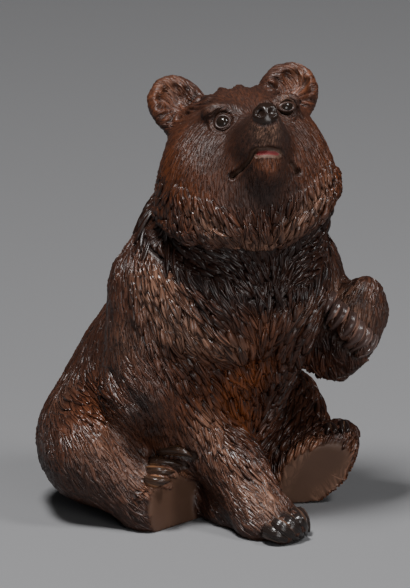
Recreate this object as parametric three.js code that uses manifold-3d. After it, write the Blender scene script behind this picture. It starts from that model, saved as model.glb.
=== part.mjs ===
// A seated bear carved in limewood as a tobacco jar. The body is bored out as the jar, and the head,
// which looks up, is the lid: it lifts off at a slanting joint round the neck. Two black glass eyes
// are set in the head. Millimetres, +Z up, the bear faces -Y and its left side is +X.
import * as THREE from 'three';
import { mergeVertices } from 'three/addons/utils/BufferGeometryUtils.js';
import Module from 'manifold-3d';

const wasm = await Module();
wasm.setup();

// How finely the clay is sampled, and how many faces each thinned surface keeps.
const bodyCell = 4.2;
const bodyFaces = 3550;
const headCell = 2.8;
const headFaces = 1980;

// The joint between jar and lid, a slanting plane round the neck.
const jointCentre = [9, -48, 152];
const jointNormal = [-0.02, -0.46, 0.89];
const jointGap = 0.3;

// The well is bored square to the joint. The lid's tenon drops into its mouth.
const wellRadius = 30;
const wellDepth = 108;
const wellCorner = 8;
const tenonLength = 10;
const tenonClearance = 0.8;

// The head's own frame: its origin is in the middle of the skull, and it faces its own -Y.
const headAt = [8, -55, 198];
const headYaw = -21;
const headPitch = 33;
const headRoll = -4;

// The middle of the face, and the glass eyes beside it, sunk below the surface they are set in.
const faceMiddle = 0.5;
const eyeMiddle = 2.3;
const eyeAt = [18.4, -36, 11.9];
const eyeTilt = 1.3;
const eyeRadius = 4.4;
const eyeSunk = 2.6;
const eyeGap = 0.3;

// The mouth is a groove from one corner, over the lips, to the other. Each nostril is a small cup.
const lipMiddle = 1.5;
const lipLine = [[18.5, -38.5, -22], [14, -43, -20], [10, -52, -18.3], [6, -58, -16.2]];
const lipFront = [-60.5, -15.5];
const mouthHeight = 3;
const mouthDepth = 4;
const nostrilAt = [3.9, -74, 0.3];
const nostrilRadius = 2;

// The side that the bear mostly shows.
const facing = [-0.512, -0.819, 0.259];

// The soles of the hind feet are sawn flat: a point of each, the way it faces and how far it reaches.
const soles = [
  { point: [-32.3, -49.6, 15], normal: [0.334, -0.942, 0], reach: 38 },
  { point: [58, -57, 22], normal: [-0.4, -0.85, -0.2], reach: 36 },
];

// Locks of fur stand this high on the surface.
const lockHeight = 2.6;

const radians = THREE.MathUtils.degToRad;
const vector = (list) => new THREE.Vector3(...list);

// Clay forms are distance functions: each gives how far a point is outside the form.

// A turned ellipsoid. Angles are in degrees, about X, Y and Z.
function lump(at, size, blend, turn = [0, 0, 0]) {
  const [ax, ay, az] = at;
  const [rx, ry, rz] = size;
  const euler = new THREE.Euler(...turn.map(radians));
  const e = new THREE.Matrix4().makeRotationFromEuler(euler).invert().elements;
  const distance = (x, y, z) => {
    const dx = x - ax;
    const dy = y - ay;
    const dz = z - az;
    const u = (e[0] * dx + e[4] * dy + e[8] * dz) / rx;
    const v = (e[1] * dx + e[5] * dy + e[9] * dz) / ry;
    const w = (e[2] * dx + e[6] * dy + e[10] * dz) / rz;
    const near = Math.hypot(u, v, w);
    return (near * (near - 1)) / Math.max(Math.hypot(u / rx, v / ry, w / rz), 1e-9);
  };
  return { distance, blend };
}

// A limb from a to b that tapers from radius ra to rb.
function limb(a, ra, b, rb, blend) {
  const along = vector(b).sub(vector(a));
  const length2 = along.lengthSq();
  const distance = (x, y, z) => {
    const px = x - a[0];
    const py = y - a[1];
    const pz = z - a[2];
    const share = (px * along.x + py * along.y + pz * along.z) / length2;
    const t = Math.min(1, Math.max(0, share));
    const off = Math.hypot(px - t * along.x, py - t * along.y, pz - t * along.z);
    return off - (ra + t * (rb - ra));
  };
  return { distance, blend };
}

// A chain of limbs through stations of [x, y, z, radius].
function chain(stations, blend) {
  return stations.slice(1).map((end, i) => {
    const start = stations[i];
    return limb(start.slice(0, 3), start[3], end.slice(0, 3), end[3], blend);
  });
}

// The clay sawn flat in front of a plane through point, as far as reach.
function sawn(clay, { point, normal, reach }) {
  const n = vector(normal).normalize();
  return (x, y, z) => {
    const [px, py, pz] = [x - point[0], y - point[1], z - point[2]];
    const before = n.x * px + n.y * py + n.z * pz;
    return Math.max(clay(x, y, z), Math.min(before, reach - Math.hypot(px, py, pz)));
  };
}

// The form with a hollow pressed into it.
function hollowed(form, hollow) {
  const distance = (x, y, z) => Math.max(form.distance(x, y, z), -hollow.distance(x, y, z));
  return { distance, blend: form.blend };
}

// Forms joined one after the other, each with a soft fillet as wide as its blend.
function moulded(forms) {
  return (x, y, z) => {
    let joined = 1e3;
    for (const { distance, blend } of forms) {
      const d = distance(x, y, z);
      const share = Math.max(blend - Math.abs(joined - d), 0) / blend;
      joined = Math.min(joined, d) - (share * share * blend) / 4;
    }
    return joined;
  };
}

// Forms given in a turned frame, as a distance function of the bear's frame.
function placed(distance, frame) {
  const e = frame.clone().invert().elements;
  return (x, y, z) => distance(
    e[0] * x + e[4] * y + e[8] * z + e[12],
    e[1] * x + e[5] * y + e[9] * z + e[13],
    e[2] * x + e[6] * y + e[10] * z + e[14],
  );
}

// The surface of a distance function inside a box, by marching tetrahedra, so that it always closes.
function surfaceOf(distance, low, high, cell) {
  const count = low.map((v, i) => Math.ceil((high[i] - v) / cell) + 1);
  const corner = (i, j, k) => (k * count[1] + j) * count[0] + i;
  const values = new Float32Array(count[0] * count[1] * count[2]);
  const atEdge = (n, axis) => n === 0 || n === count[axis] - 1;
  for (let k = 0; k < count[2]; k++)
    for (let j = 0; j < count[1]; j++)
      for (let i = 0; i < count[0]; i++) {
        const d = distance(low[0] + i * cell, low[1] + j * cell, low[2] + k * cell);
        const outside = atEdge(i, 0) || atEdge(j, 1) || atEdge(k, 2);
        values[corner(i, j, k)] = outside ? Math.max(d, cell / 2) : d || 1e-6;
      }
  const points = [];
  const faces = [];
  const made = new Map();
  const place = (n) => [
    low[0] + (n % count[0]) * cell,
    low[1] + (Math.floor(n / count[0]) % count[1]) * cell,
    low[2] + Math.floor(n / (count[0] * count[1])) * cell,
  ];
  const crossing = (inner, outer) => {
    const key = Math.min(inner, outer) * values.length + Math.max(inner, outer);
    if (!made.has(key)) {
      const share = values[inner] / (values[inner] - values[outer]);
      const t = Math.min(0.95, Math.max(0.05, share));
      made.set(key, points.push(vector(place(inner)).lerp(vector(place(outer)), t)) - 1);
    }
    return made.get(key);
  };
  const addFace = (a, b, c, outwards) => {
    const [p, q, r] = [points[a], points[b], points[c]];
    const normal = q.clone().sub(p).cross(r.clone().sub(p));
    faces.push(normal.dot(outwards) > 0 ? [a, b, c] : [a, c, b]);
  };
  const step = [1, count[0], count[0] * count[1]];
  const orders = [[0, 1, 2], [0, 2, 1], [1, 0, 2], [1, 2, 0], [2, 0, 1], [2, 1, 0]];
  for (let k = 0; k < count[2] - 1; k++)
    for (let j = 0; j < count[1] - 1; j++)
      for (let i = 0; i < count[0] - 1; i++)
        for (const [a, b] of orders) {
          const first = corner(i, j, k);
          const last = first + step[0] + step[1] + step[2];
          const four = [first, first + step[a], first + step[a] + step[b], last];
          const inner = four.filter((n) => values[n] < 0);
          const outer = four.filter((n) => values[n] >= 0);
          if (!inner.length || !outer.length) continue;
          const outwards = vector(place(outer[0])).sub(vector(place(inner[0])));
          const cuts = inner.flatMap((n) => outer.map((m) => crossing(n, m)));
          addFace(cuts[0], cuts[1], cuts[2], outwards);
          if (cuts.length === 4) addFace(cuts[1], cuts[3], cuts[2], outwards);
        }
  return { points, faces };
}

// A mesh thinned to about the wanted number of faces, by collapsing the edges that matter least
// to its shape. Each edge's cost is the summed squared distance to the planes met on the way.
function thinned({ points, faces }, wanted) {
  const planes = points.map(() => new Float64Array(10));
  const around = points.map(() => new Set());
  const normalOf = ([a, b, c]) =>
    points[b].clone().sub(points[a]).cross(points[c].clone().sub(points[a]));
  faces.forEach((face, i) => {
    const n = normalOf(face).normalize();
    const d = -n.dot(points[face[0]]);
    const terms = [n.x * n.x, n.x * n.y, n.x * n.z, n.x * d, n.y * n.y,
      n.y * n.z, n.y * d, n.z * n.z, n.z * d, d * d];
    for (const v of face) {
      around[v].add(i);
      terms.forEach((term, t) => { planes[v][t] += term; });
    }
  });
  const missing = (q, { x, y, z }) =>
    q[0] * x * x + 2 * q[1] * x * y + 2 * q[2] * x * z + 2 * q[3] * x + q[4] * y * y
    + 2 * q[5] * y * z + 2 * q[6] * y + q[7] * z * z + 2 * q[8] * z + q[9];
  const neighbours = (v) => new Set([...around[v]].flatMap((i) => faces[i]).filter((n) => n !== v));
  const flips = (v, other, target) => [...around[v]].some((i) => {
    if (faces[i].includes(other)) return false;
    const before = normalOf(faces[i]);
    const [p, q, r] = faces[i].map((n) => (n === v ? target : points[n]));
    const after = q.clone().sub(p).cross(r.clone().sub(p));
    return before.dot(after) < 0.3 * before.length() * after.length();
  });
  let left = faces.length;
  const collapse = (keep, drop, limit) => {
    const sum = planes[keep].map((term, t) => term + planes[drop][t]);
    const middle = points[keep].clone().lerp(points[drop], 0.5);
    const [target] = [middle, points[keep], points[drop]]
      .sort((a, b) => missing(sum, a) - missing(sum, b));
    const stretch = points[keep].distanceToSquared(points[drop]) * 2e-4;
    if (missing(sum, target) + stretch > limit) return false;
    const shared = neighbours(keep).intersection(neighbours(drop));
    if (shared.size !== 2) return false;
    if (flips(keep, drop, target) || flips(drop, keep, target)) return false;
    for (const i of around[drop]) {
      if (faces[i].includes(keep)) {
        for (const v of faces[i]) if (v !== drop) around[v].delete(i);
        faces[i] = null;
        left -= 1;
      } else {
        faces[i] = faces[i].map((v) => (v === drop ? keep : v));
        around[keep].add(i);
      }
    }
    around[drop].clear();
    points[keep] = target.clone();
    planes[keep] = sum;
    return true;
  };
  for (let limit = 1e-3; left > wanted && limit < 1e3; limit *= 1.5)
    for (let i = 0; i < faces.length && left > wanted; i++) {
      const face = faces[i];
      if (face) face.some((v, n) => collapse(v, face[(n + 1) % 3], limit));
    }
  return { points, faces: faces.filter(Boolean) };
}

// Solids for cutting and joining.
function solidOfMesh({ points, faces }) {
  const used = new Map();
  const number = (v) => used.get(v) ?? used.set(v, used.size).get(v);
  const triVerts = Uint32Array.from(faces.flat().map(number));
  const vertProperties = Float32Array.from([...used.keys()].flatMap((v) => points[v].toArray()));
  return new wasm.Manifold(new wasm.Mesh({ numProp: 3, vertProperties, triVerts }));
}

function solidOf(geometry) {
  const bare = geometry.clone();
  bare.deleteAttribute('normal');
  bare.deleteAttribute('uv');
  const merged = mergeVertices(bare, 1e-3);
  return new wasm.Manifold(new wasm.Mesh({
    numProp: 3,
    vertProperties: merged.attributes.position.array,
    triVerts: new Uint32Array(merged.index.array),
  }));
}


// The faces of the largest shell alone, so that slivers shut in between two locks are filled.
function largestShell(triVerts) {
  const parent = new Map();
  const rootOf = (v) => {
    let at = v;
    while (parent.has(at)) at = parent.get(at);
    if (at !== v) parent.set(v, at);
    return at;
  };
  const faces = [];
  for (let i = 0; i < triVerts.length; i += 3) faces.push([...triVerts.slice(i, i + 3)]);
  for (const [a, b, c] of faces)
    for (const v of [b, c]) if (rootOf(v) !== rootOf(a)) parent.set(rootOf(v), rootOf(a));
  const shells = Map.groupBy(faces, ([a]) => rootOf(a));
  return [...shells.values()].sort((a, b) => b.length - a.length)[0].flat();
}
function geometryOf(solid) {
  const { vertProperties, triVerts } = solid.getMesh();
  const geometry = new THREE.BufferGeometry();
  geometry.setAttribute('position', new THREE.BufferAttribute(vertProperties, 3));
  geometry.setIndex(largestShell(triVerts));
  geometry.computeVertexNormals();
  return geometry;
}

// The point of a surface that is met on the way from one point to another, and its outward normal.
function met(distance, from, to) {
  const point = vector(from);
  const way = vector(to).sub(point);
  const reach = way.length();
  way.normalize();
  for (let gone = 0; gone < reach;) {
    const step = Math.max(distance(point.x, point.y, point.z) * 0.7, 0.02);
    if (step <= 0.02) break;
    point.addScaledVector(way, step);
    gone += step;
  }
  const { x, y, z } = point;
  const at = distance(x, y, z);
  const normal = new THREE.Vector3(distance(x + 0.5, y, z) - at, distance(x, y + 0.5, z) - at,
    distance(x, y, z + 0.5) - at).normalize();
  return { point, normal };
}

// A raised lock of fur: a leaf with a ridge that points the given way, half sunk in the surface.
function lock({ point, normal }, towards, length, width, height = lockHeight) {
  const along = vector(towards).projectOnPlane(normal).normalize();
  const across = along.clone().cross(normal);
  const leaf = new THREE.OctahedronGeometry(1);
  leaf.applyMatrix4(new THREE.Matrix4().makeBasis(
    across.multiplyScalar(width / 2),
    along.clone().multiplyScalar(length / 2),
    normal.clone().multiplyScalar(height).addScaledVector(along, length * 0.3),
  ).setPosition(point));
  return leaf;
}

// A claw from its root to its tip that curls over towards the given side.
function claw(root, tip, curl, width) {
  const profile = [[0, 0], [1, 0.02], [1, 0.6], [0.65, 0.9], [0, 1]];
  const shape = new THREE.LatheGeometry(profile.map((p) => new THREE.Vector2(...p)), 6);
  const along = vector(tip).sub(vector(root));
  const length = along.length();
  along.normalize();
  const over = vector(curl).projectOnPlane(along).normalize();
  const side = along.clone().cross(over);
  const places = shape.attributes.position;
  for (let i = 0; i < places.count; i++) {
    const share = places.getY(i);
    places.setZ(i, places.getZ(i) - Math.sin(share * Math.PI) * length * 0.3 / width);
  }
  shape.applyMatrix4(new THREE.Matrix4().makeBasis(
    side.multiplyScalar(width / 2),
    along.clone().multiplyScalar(length),
    over.multiplyScalar(width / 2),
  ).setPosition(vector(root)));
  return shape;
}

// The head in its own frame: a broad skull, full cheeks, a long muzzle and round cupped ears.
function headForms() {
  const forms = [
    lump([1, 4, 3], [40, 39, 35], 8),
    lump([-2, 2, -27], [41, 38, 28], 22),
    limb([faceMiddle, -22, -8], 23, [faceMiddle, -47, -8], 14.5, 12),
    limb([faceMiddle, -48, -5], 12, [faceMiddle, -61, -4], 9.5, 6),
    limb([faceMiddle, -26, -24], 13, [faceMiddle, -49, -21], 8.5, 6),
    lump([faceMiddle, -69.5, 0.5], [8, 5.5, 7.5], 3),
  ];
  for (const side of [-1, 1]) {
    forms.push(lump([side * 23 - 2, -6, -16], [21, 27, 28], 16));
    forms.push(lump([side * 18 + eyeMiddle, -31, 17.8], [10, 7, 4.5], 7));
    const ear = lump([side * 30 + 1.5, 7, 35], [16.5, 9, 18], 6, [0, side * 28, side * -12]);
    const hollow = lump([side * 31 + 1.5, -5, 37], [11.5, 12, 13], 6, [0, side * 28, side * -12]);
    forms.push(hollowed(ear, hollow));
  }
  return forms;
}

// The neck and the seated body, in the bear's frame.
function trunkForms() {
  return [
    lump([0, 8, 46], [62, 53, 54], 10),
    lump([4, -10, 82], [54, 49, 48], 24),
    lump([10, -36, 116], [54, 44, 44], 24),
    limb([10, -46, 138], 46, [10, -50, 166], 44, 18),
    lump([-2, -36, 148], [39, 36, 33], 14),
  ];
}

// The right arm is planted between the feet, the left one is raised and bent at the wrist.
function armForms() {
  return [
    ...chain([[-32, -32, 128, 26], [-39, -36, 74, 24], [-18, -42, 50, 17.5], [-3, -61, 32, 15],
      [0, -84, 12, 15]], 9),
    lump([0, -57, 9], [15, 24, 15], 8),
    lump([3, -89, 7], [18, 16, 12], 6),
    ...chain([[51, -37, 126, 26], [66, -55, 86, 14], [76, -64, 106, 14]], 12),
    lump([68, -73, 104], [15.5, 13, 25], 6, [0, 18, 0]),
  ];
}

// Each hind leg is a full haunch with the knee out to the side and an upright sole.
function legForms() {
  const rightFoot = lump([-29, -38, 14], [31, 22, 22], 6, [0, -12, 19]);
  const leftFoot = lump([58, -50, 20], [16, 14, 30], 6, [10, 44, 0]);
  return [
    lump([-42, 6, 36.5], [35, 38, 36], 10),
    limb([-59, -14, 36], 27, [-46, -37, 18], 17, 12),
    rightFoot,
    lump([40, 8, 34], [35, 38, 36], 14),
    limb([60, -10, 42], 22, [56, -38, 22], 18, 12),
    leftFoot,
  ];
}

const headFrame = new THREE.Matrix4().makeTranslation(...headAt)
  .multiply(new THREE.Matrix4().makeRotationZ(radians(headYaw)))
  .multiply(new THREE.Matrix4().makeRotationX(radians(-headPitch)))
  .multiply(new THREE.Matrix4().makeRotationY(radians(headRoll)));
const headClay = moulded(headForms());
const seated = soles.reduce((clay, sole) => sawn(clay, sole), moulded([...trunkForms(), ...legForms()]));
const trunk = moulded([{ distance: seated, blend: 0.01 }, ...armForms()]);
const placedHead = placed(headClay, headFrame);
const bear = moulded([{ distance: trunk, blend: 0.01 }, { distance: placedHead, blend: 8 }]);

// Rows of locks that follow rings round the head, in its own frame. Each row gives its place along
// the head under the chin, how far it sweeps back towards the ears, the angles it runs between,
// and the size of a lock.
function ruffLocks() {
  const rows = [
    { y: -24, sweep: 16, from: -78, to: 78, count: 13, length: 16, width: 10 },
    { y: -17, sweep: 20, from: -90, to: 90, count: 14, length: 18, width: 11 },
    { y: -8, sweep: 0, from: 152, to: 208, count: 6, length: 13, width: 8 },
  ];
  return rows.flatMap(({ y, sweep, from, to, count, length, width }) =>
    Array.from({ length: count }, (_, i) => {
      const angle = radians(from + ((to - from) * i) / (count - 1));
      const [across, down] = [Math.sin(angle), -Math.cos(angle)];
      const back = y + sweep * angle * angle;
      const spot = met(headClay, [across * 90 - 2, back, down * 90 - 14], [-2, back, -14]);
      return lock(spot, [across * 0.5, 1, down * 0.6], length, width).applyMatrix4(headFrame);
    }));
}

// Rows of locks round the trunk: height, the angles round it counted from the front to the bear's
// left, and the axis of that height.
function coatLocks() {
  const rows = [
    { z: 128, axis: [9, -44], from: -100, to: 44, count: 11, length: 24, width: 10 },
    { z: 108, axis: [8, -30], from: -60, to: 38, count: 8, length: 24, width: 10 },
    { z: 88, axis: [4, -14], from: -25, to: 45, count: 6, length: 22, width: 9 },
    { z: 120, axis: [4, -14], from: 140, to: 212, count: 6, length: 22, width: 10 },
    { z: 88, axis: [2, -4], from: 138, to: 216, count: 7, length: 24, width: 11 },
  ];
  return rows.flatMap(({ z, axis, from, to, count, length, width }) =>
    Array.from({ length: count }, (_, i) => {
      const angle = radians(from + ((to - from) * i) / (count - 1));
      const [x, y] = [axis[0] + Math.sin(angle) * 110, axis[1] - Math.cos(angle) * 110];
      const height = z - (i % 2) * length * 0.35;
      return lock(met(bear, [x, y, height], [...axis, height]), [0, 0, -1], length, width);
    }));
}

// Claws of the planted paw, the raised paw and the two hind feet. Each row has its first and last
// root, met on the surface from one side, the way from root to tip, and the way that it curls.
function claws() {
  const rows = [
    { roots: [[-5, -99, 8], [19.6, -91, 13]], from: facing,
      ways: [[6, -9, -10], [0, -9, -13]], curl: [0, 0.6, -0.8], count: 5, width: 8 },
    { roots: [[59, -62, 115], [72, -76, 94]], from: facing,
      ways: [[-5, 4, -12], [-5, 4, -11]], curl: [0.4, 0.85, 0], count: 5, width: 6.5 },
    { roots: [[-34, -42, 40], [-47, -46, 28]], from: facing,
      ways: [[11, -9, -5], [11, -9, -5]], curl: [-0.2, 0.5, -1], count: 4, width: 7 },
    { roots: [[60, -51, 46], [73, -57, 45]], from: [0, 0, 1],
      ways: [[-4, -10, 0], [-4, -10, 0]], curl: [0, 0.2, -1], count: 4, width: 5 },
  ];
  return rows.flatMap(({ roots, from, ways, curl, count, width }) => {
    const away = vector(from).normalize().multiplyScalar(50);
    return Array.from({ length: count }, (_, i) => {
      const between = (ends) => vector(ends[0]).lerp(vector(ends[1]), i / (count - 1));
      const near = between(roots);
      const [outer, inner] = [near.clone().add(away), near.clone().sub(away)];
      const root = met(trunk, outer.toArray(), inner.toArray()).point;
      return claw(root.toArray(), root.clone().add(between(ways)).toArray(), curl, width);
    });
  });
}

// A block that covers everything beyond a plane.
function beyond(point, normal) {
  const size = 600;
  const block = new THREE.BoxGeometry(size, size, size).translate(0, 0, size / 2);
  const up = new THREE.Vector3(0, 0, 1);
  block.applyQuaternion(new THREE.Quaternion().setFromUnitVectors(up, vector(normal).normalize()));
  return block.translate(...point);
}

// A turned piece about the joint's axis, from its radius at each height above the joint.
function turned(profile) {
  const shape = new THREE.LatheGeometry(profile.map((p) => new THREE.Vector2(...p)), 32);
  const axis = vector(jointNormal).normalize();
  const turn = new THREE.Quaternion().setFromUnitVectors(new THREE.Vector3(0, 1, 0), axis);
  shape.applyQuaternion(turn);
  return shape.translate(...jointCentre);
}

function wellShape() {
  const rounded = [0, 30, 60, 90].map(radians).map((a) => [
    wellRadius - wellCorner + wellCorner * Math.sin(a),
    -wellDepth + wellCorner - wellCorner * Math.cos(a),
  ]);
  return turned([[0, -wellDepth], ...rounded, [wellRadius, 20], [0, 20]]);
}

function tenonShape() {
  const radius = wellRadius - tenonClearance;
  return turned([[0, -tenonLength], [radius - 1, -tenonLength], [radius, 1 - tenonLength],
    [radius, 4], [0, 4]]);
}

// Cuts in the head, made in its own frame: the mouth, the nostrils and the sockets of the eyes.
function headCuts() {
  const mirrored = lipLine.map(([x, y, z]) => [-x, y, z]);
  const line = [...mirrored, [0, ...lipFront], ...lipLine.toReversed()];
  const path = new THREE.CatmullRomCurve3(line.map(([x, y, z]) => {
    const far = [lipMiddle + x * 2.4, y - 24, z - 10];
    return met(headClay, far, [lipMiddle - x * 0.4, y + 24, z + 10]).point;
  }));
  const settled = path.getPoints(14).map(({ x, y, z }) => {
    const far = [lipMiddle + (x - lipMiddle) * 2, y - 24, z - 8];
    return met(headClay, far, [lipMiddle, y + 24, z + 8]).point;
  });
  const section = [[-1, 0], [0, 0.5], [1, 0], [0, -0.5]];
  const groove = new THREE.Shape(section.map(([u, v]) =>
    new THREE.Vector2(u * mouthDepth, v * mouthHeight)));
  const extrudePath = new THREE.CatmullRomCurve3(settled);
  const cuts = [new THREE.ExtrudeGeometry(groove, { steps: 16, bevelEnabled: false, extrudePath })];
  for (const side of [-1, 1]) {
    cuts.push(new THREE.SphereGeometry(nostrilRadius, 8, 6)
      .translate(faceMiddle + side * nostrilAt[0], nostrilAt[1], nostrilAt[2]));
    cuts.push(new THREE.SphereGeometry(eyeRadius + eyeGap, 12, 8).translate(...eyeCentre(side)));
  }
  return cuts.map((cut) => cut.applyMatrix4(headFrame));
}

function eyeCentre(side) {
  const [x, y, z] = eyeAt;
  const height = z + side * eyeTilt;
  const { point, normal } = met(headClay, [eyeMiddle + side * (x + 12), y - 40, height + 8],
    [eyeMiddle + side * (x - 6), y + 20, height - 4]);
  return point.addScaledVector(normal, -eyeSunk).toArray();
}

const joinAll = (solid, shapes) => shapes.reduce((sum, shape) => sum.add(solidOf(shape)), solid);
const cutAll = (solid, shapes) =>
  shapes.reduce((rest, shape) => rest.subtract(solidOf(shape)), solid);

const seat = vector(jointNormal).normalize();
const jarFace = vector(jointCentre).addScaledVector(seat, -jointGap / 2).toArray();
const lidFace = vector(jointCentre).addScaledVector(seat, jointGap / 2).toArray();
const below = beyond([0, 0, 0], [0, 0, -1]);

const bodySkin = surfaceOf(bear, [-100, -122, -8], [106, 76, 196], bodyCell);
const bodyClay = solidOfMesh(thinned(bodySkin, bodyFaces));
const jarCuts = [beyond(jarFace, jointNormal), wellShape(), below];
const jar = cutAll(joinAll(bodyClay, [...coatLocks(), ...claws()]), jarCuts);

const headSkin = surfaceOf(bear, [-66, -128, 118], [86, 20, 250], headCell);
const headClayed = solidOfMesh(thinned(headSkin, headFaces));
const lidCuts = [beyond(lidFace, seat.clone().negate().toArray()), ...headCuts()];
const lid = cutAll(joinAll(headClayed, ruffLocks()), lidCuts).add(solidOf(tenonShape()));

// Looks.
const wood = { color: 0x4a2a1c, roughness: 0.42, metalness: 0 };
const glass = { color: 0x0a0807, roughness: 0.08, metalness: 0 };

const pieces = new THREE.Group();
function addPiece(name, geometry, look) {
  const mesh = new THREE.Mesh(geometry, new THREE.MeshStandardMaterial(look));
  mesh.name = name;
  pieces.add(mesh);
  return mesh;
}

addPiece('bear_body', geometryOf(jar), wood);
addPiece('bear_head_lid', geometryOf(lid), wood);
for (const [name, side] of [['right_glass_eye', -1], ['left_glass_eye', 1]]) {
  const eye = addPiece(name, new THREE.SphereGeometry(eyeRadius, 12, 8), glass);
  eye.position.set(...eyeCentre(side)).applyMatrix4(headFrame);
  eye.setRotationFromMatrix(headFrame);
}

// The origin is in the middle of the footprint.
const size = new THREE.Box3().setFromObject(pieces);
pieces.position.set(-(size.min.x + size.max.x) / 2, -(size.min.y + size.max.y) / 2, 0);

const root = new THREE.Group();
root.add(pieces);
export default root;
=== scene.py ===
import itertools
import math
import bmesh
import bpy
import numpy as np
from mathutils import Matrix, Vector, bvhtree, kdtree


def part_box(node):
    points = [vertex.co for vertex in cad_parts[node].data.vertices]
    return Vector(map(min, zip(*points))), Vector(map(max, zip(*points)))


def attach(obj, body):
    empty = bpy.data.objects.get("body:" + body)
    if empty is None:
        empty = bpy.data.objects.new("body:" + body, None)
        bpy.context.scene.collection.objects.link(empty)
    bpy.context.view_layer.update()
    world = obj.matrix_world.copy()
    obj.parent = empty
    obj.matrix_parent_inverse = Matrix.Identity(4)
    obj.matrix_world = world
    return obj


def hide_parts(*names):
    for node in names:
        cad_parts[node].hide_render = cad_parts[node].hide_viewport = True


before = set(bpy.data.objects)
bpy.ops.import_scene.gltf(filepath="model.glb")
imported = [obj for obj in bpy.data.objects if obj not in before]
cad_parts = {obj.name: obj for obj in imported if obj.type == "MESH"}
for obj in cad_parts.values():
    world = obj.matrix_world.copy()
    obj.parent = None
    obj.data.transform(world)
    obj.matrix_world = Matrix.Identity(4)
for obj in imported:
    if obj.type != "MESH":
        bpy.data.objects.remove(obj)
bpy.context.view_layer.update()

print("frame loaded:", sorted(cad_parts))

mm = 0.001  # the places and sizes below are in millimetres, and the bear faces -Y
joint = {  # the slanting plane where the lid parts from the jar, and the well below it
    "centre": (7.03, -20.58, 152), "normal": (-0.02, -0.46, 0.89), "gap": 0.3,
    "wellRadius": 30, "wellDepth": 108,
}
soles = {  # the flat faces of the two hind soles: a point, the way they face, and how far they reach
    "right": {"point": (-34.3, -22.2, 15), "normal": (0.334, -0.942, 0), "reach": 38},
    "left": {"point": (56, -29.6, 22), "normal": (-0.416, -0.885, -0.208), "reach": 36},
}
headFrame = {"at": (6.032, -27.58, 198), "yaw": -21, "pitch": -33, "roll": -4}  # the head's own frame
headPlace = (Matrix.Translation(headFrame["at"])
             @ Matrix.Rotation(math.radians(headFrame["yaw"]), 4, "Z")
             @ Matrix.Rotation(math.radians(headFrame["pitch"]), 4, "X")
             @ Matrix.Rotation(math.radians(headFrame["roll"]), 4, "Y"))
headTurn = np.array(headPlace)[:3, :3]


def selectOnly(thing):
    bpy.ops.object.select_all(action="DESELECT")
    thing.hide_set(False)
    thing.select_set(True)
    bpy.context.view_layer.objects.active = thing


def applied(thing, kind, **settings):
    selectOnly(thing)
    modifier = thing.modifiers.new(kind.lower(), kind)
    for name, value in settings.items():
        setattr(modifier, name, value)
    bpy.ops.object.modifier_apply(modifier=modifier.name)


def places(mesh):
    found = np.empty(len(mesh.vertices) * 3)
    mesh.vertices.foreach_get("co", found)
    return found.reshape(-1, 3) / mm


def putPlaces(mesh, points):
    mesh.vertices.foreach_set("co", (points * mm).ravel())
    mesh.update()


def facing(mesh):
    found = np.empty(len(mesh.vertices) * 3)
    mesh.vertex_normals.foreach_get("vector", found)
    return found.reshape(-1, 3)


def faceMiddles(mesh):
    found = np.empty(len(mesh.polygons) * 3)
    mesh.polygons.foreach_get("center", found)
    return found.reshape(-1, 3) / mm


def cornerVertices(mesh):  # the vertex at each corner of each face
    found = np.empty(len(mesh.loops), int)
    mesh.loops.foreach_get("vertex_index", found)
    return found


def triangleCount(mesh):
    return sum(len(face.vertices) - 2 for face in mesh.polygons)


def giveAttribute(mesh, name, values):  # a number at each vertex, or a vector at each corner of a face
    values = np.asarray(values, np.float32)
    if values.ndim == 2:
        made = mesh.attributes.new(name, "FLOAT_VECTOR", "CORNER")
        made.data.foreach_set("vector", values.ravel())
    else:
        made = mesh.attributes.new(name, "FLOAT", "POINT")
        made.data.foreach_set("value", values)


def grouped(thing, name, wanted, weight=1):
    group = thing.vertex_groups.get(name) or thing.vertex_groups.new(name=name)
    group.add([int(i) for i in np.nonzero(wanted)[0]], weight, "REPLACE")


def unit(vectors):
    vectors = np.asarray(vectors, float)
    return vectors / np.maximum(np.linalg.norm(vectors, axis=-1, keepdims=True), 1e-9)


def ramp(value, low, high):  # 0 below low, 1 above high, smooth between them
    share = np.clip((value - low) / (high - low), 0, 1)
    return share * share * (3 - 2 * share)


def fade(value, low, high):  # 1 below low, 0 above high
    return 1 - ramp(value, low, high)


def bump(far, reach):  # 1 where far is nothing, and hardly anything past twice the reach
    return np.exp(-(far / reach) ** 2)


def inHead(points):
    back = np.array(headPlace.inverted())
    return points @ back[:3, :3].T + back[:3, 3]


def outOfHead(points):
    return np.asarray(points, float) @ headTurn.T + np.array(headPlace)[:3, 3]


def aboveJoint(points):
    return (points - np.array(joint["centre"])) @ unit(joint["normal"])


def fromJointAxis(points):
    rel = points - np.array(joint["centre"])
    along = rel @ unit(joint["normal"])
    return np.linalg.norm(rel - along[:, None] * unit(joint["normal"]), axis=1)


def farFromLine(points, line):
    far = np.full(len(points), 1e9)
    for start, end in zip(np.array(line[:-1], float), np.array(line[1:], float)):
        share = np.clip((points - start) @ (end - start) / ((end - start) @ (end - start)), 0, 1)
        far = np.minimum(far, np.linalg.norm(points - start - share[:, None] * (end - start), axis=1))
    return far


def alongLine(line, step):  # points on a broken line, evenly spaced
    line = np.array(line, float)
    gone = np.concatenate([[0], np.cumsum(np.linalg.norm(np.diff(line, axis=0), axis=1))])
    at = np.arange(0, gone[-1], step)
    return np.stack([np.interp(at, gone, line[:, i]) for i in range(3)], 1)


def selectFaces(thing, chosen):  # leaves the thing in edit mode
    selectOnly(thing)
    bpy.ops.object.mode_set(mode="EDIT")
    bpy.ops.mesh.select_mode(type="FACE")
    bpy.ops.mesh.select_all(action="DESELECT")
    bpy.ops.object.mode_set(mode="OBJECT")
    thing.data.polygons.foreach_set("select", np.asarray(chosen, bool))
    bpy.ops.object.mode_set(mode="EDIT")


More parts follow.
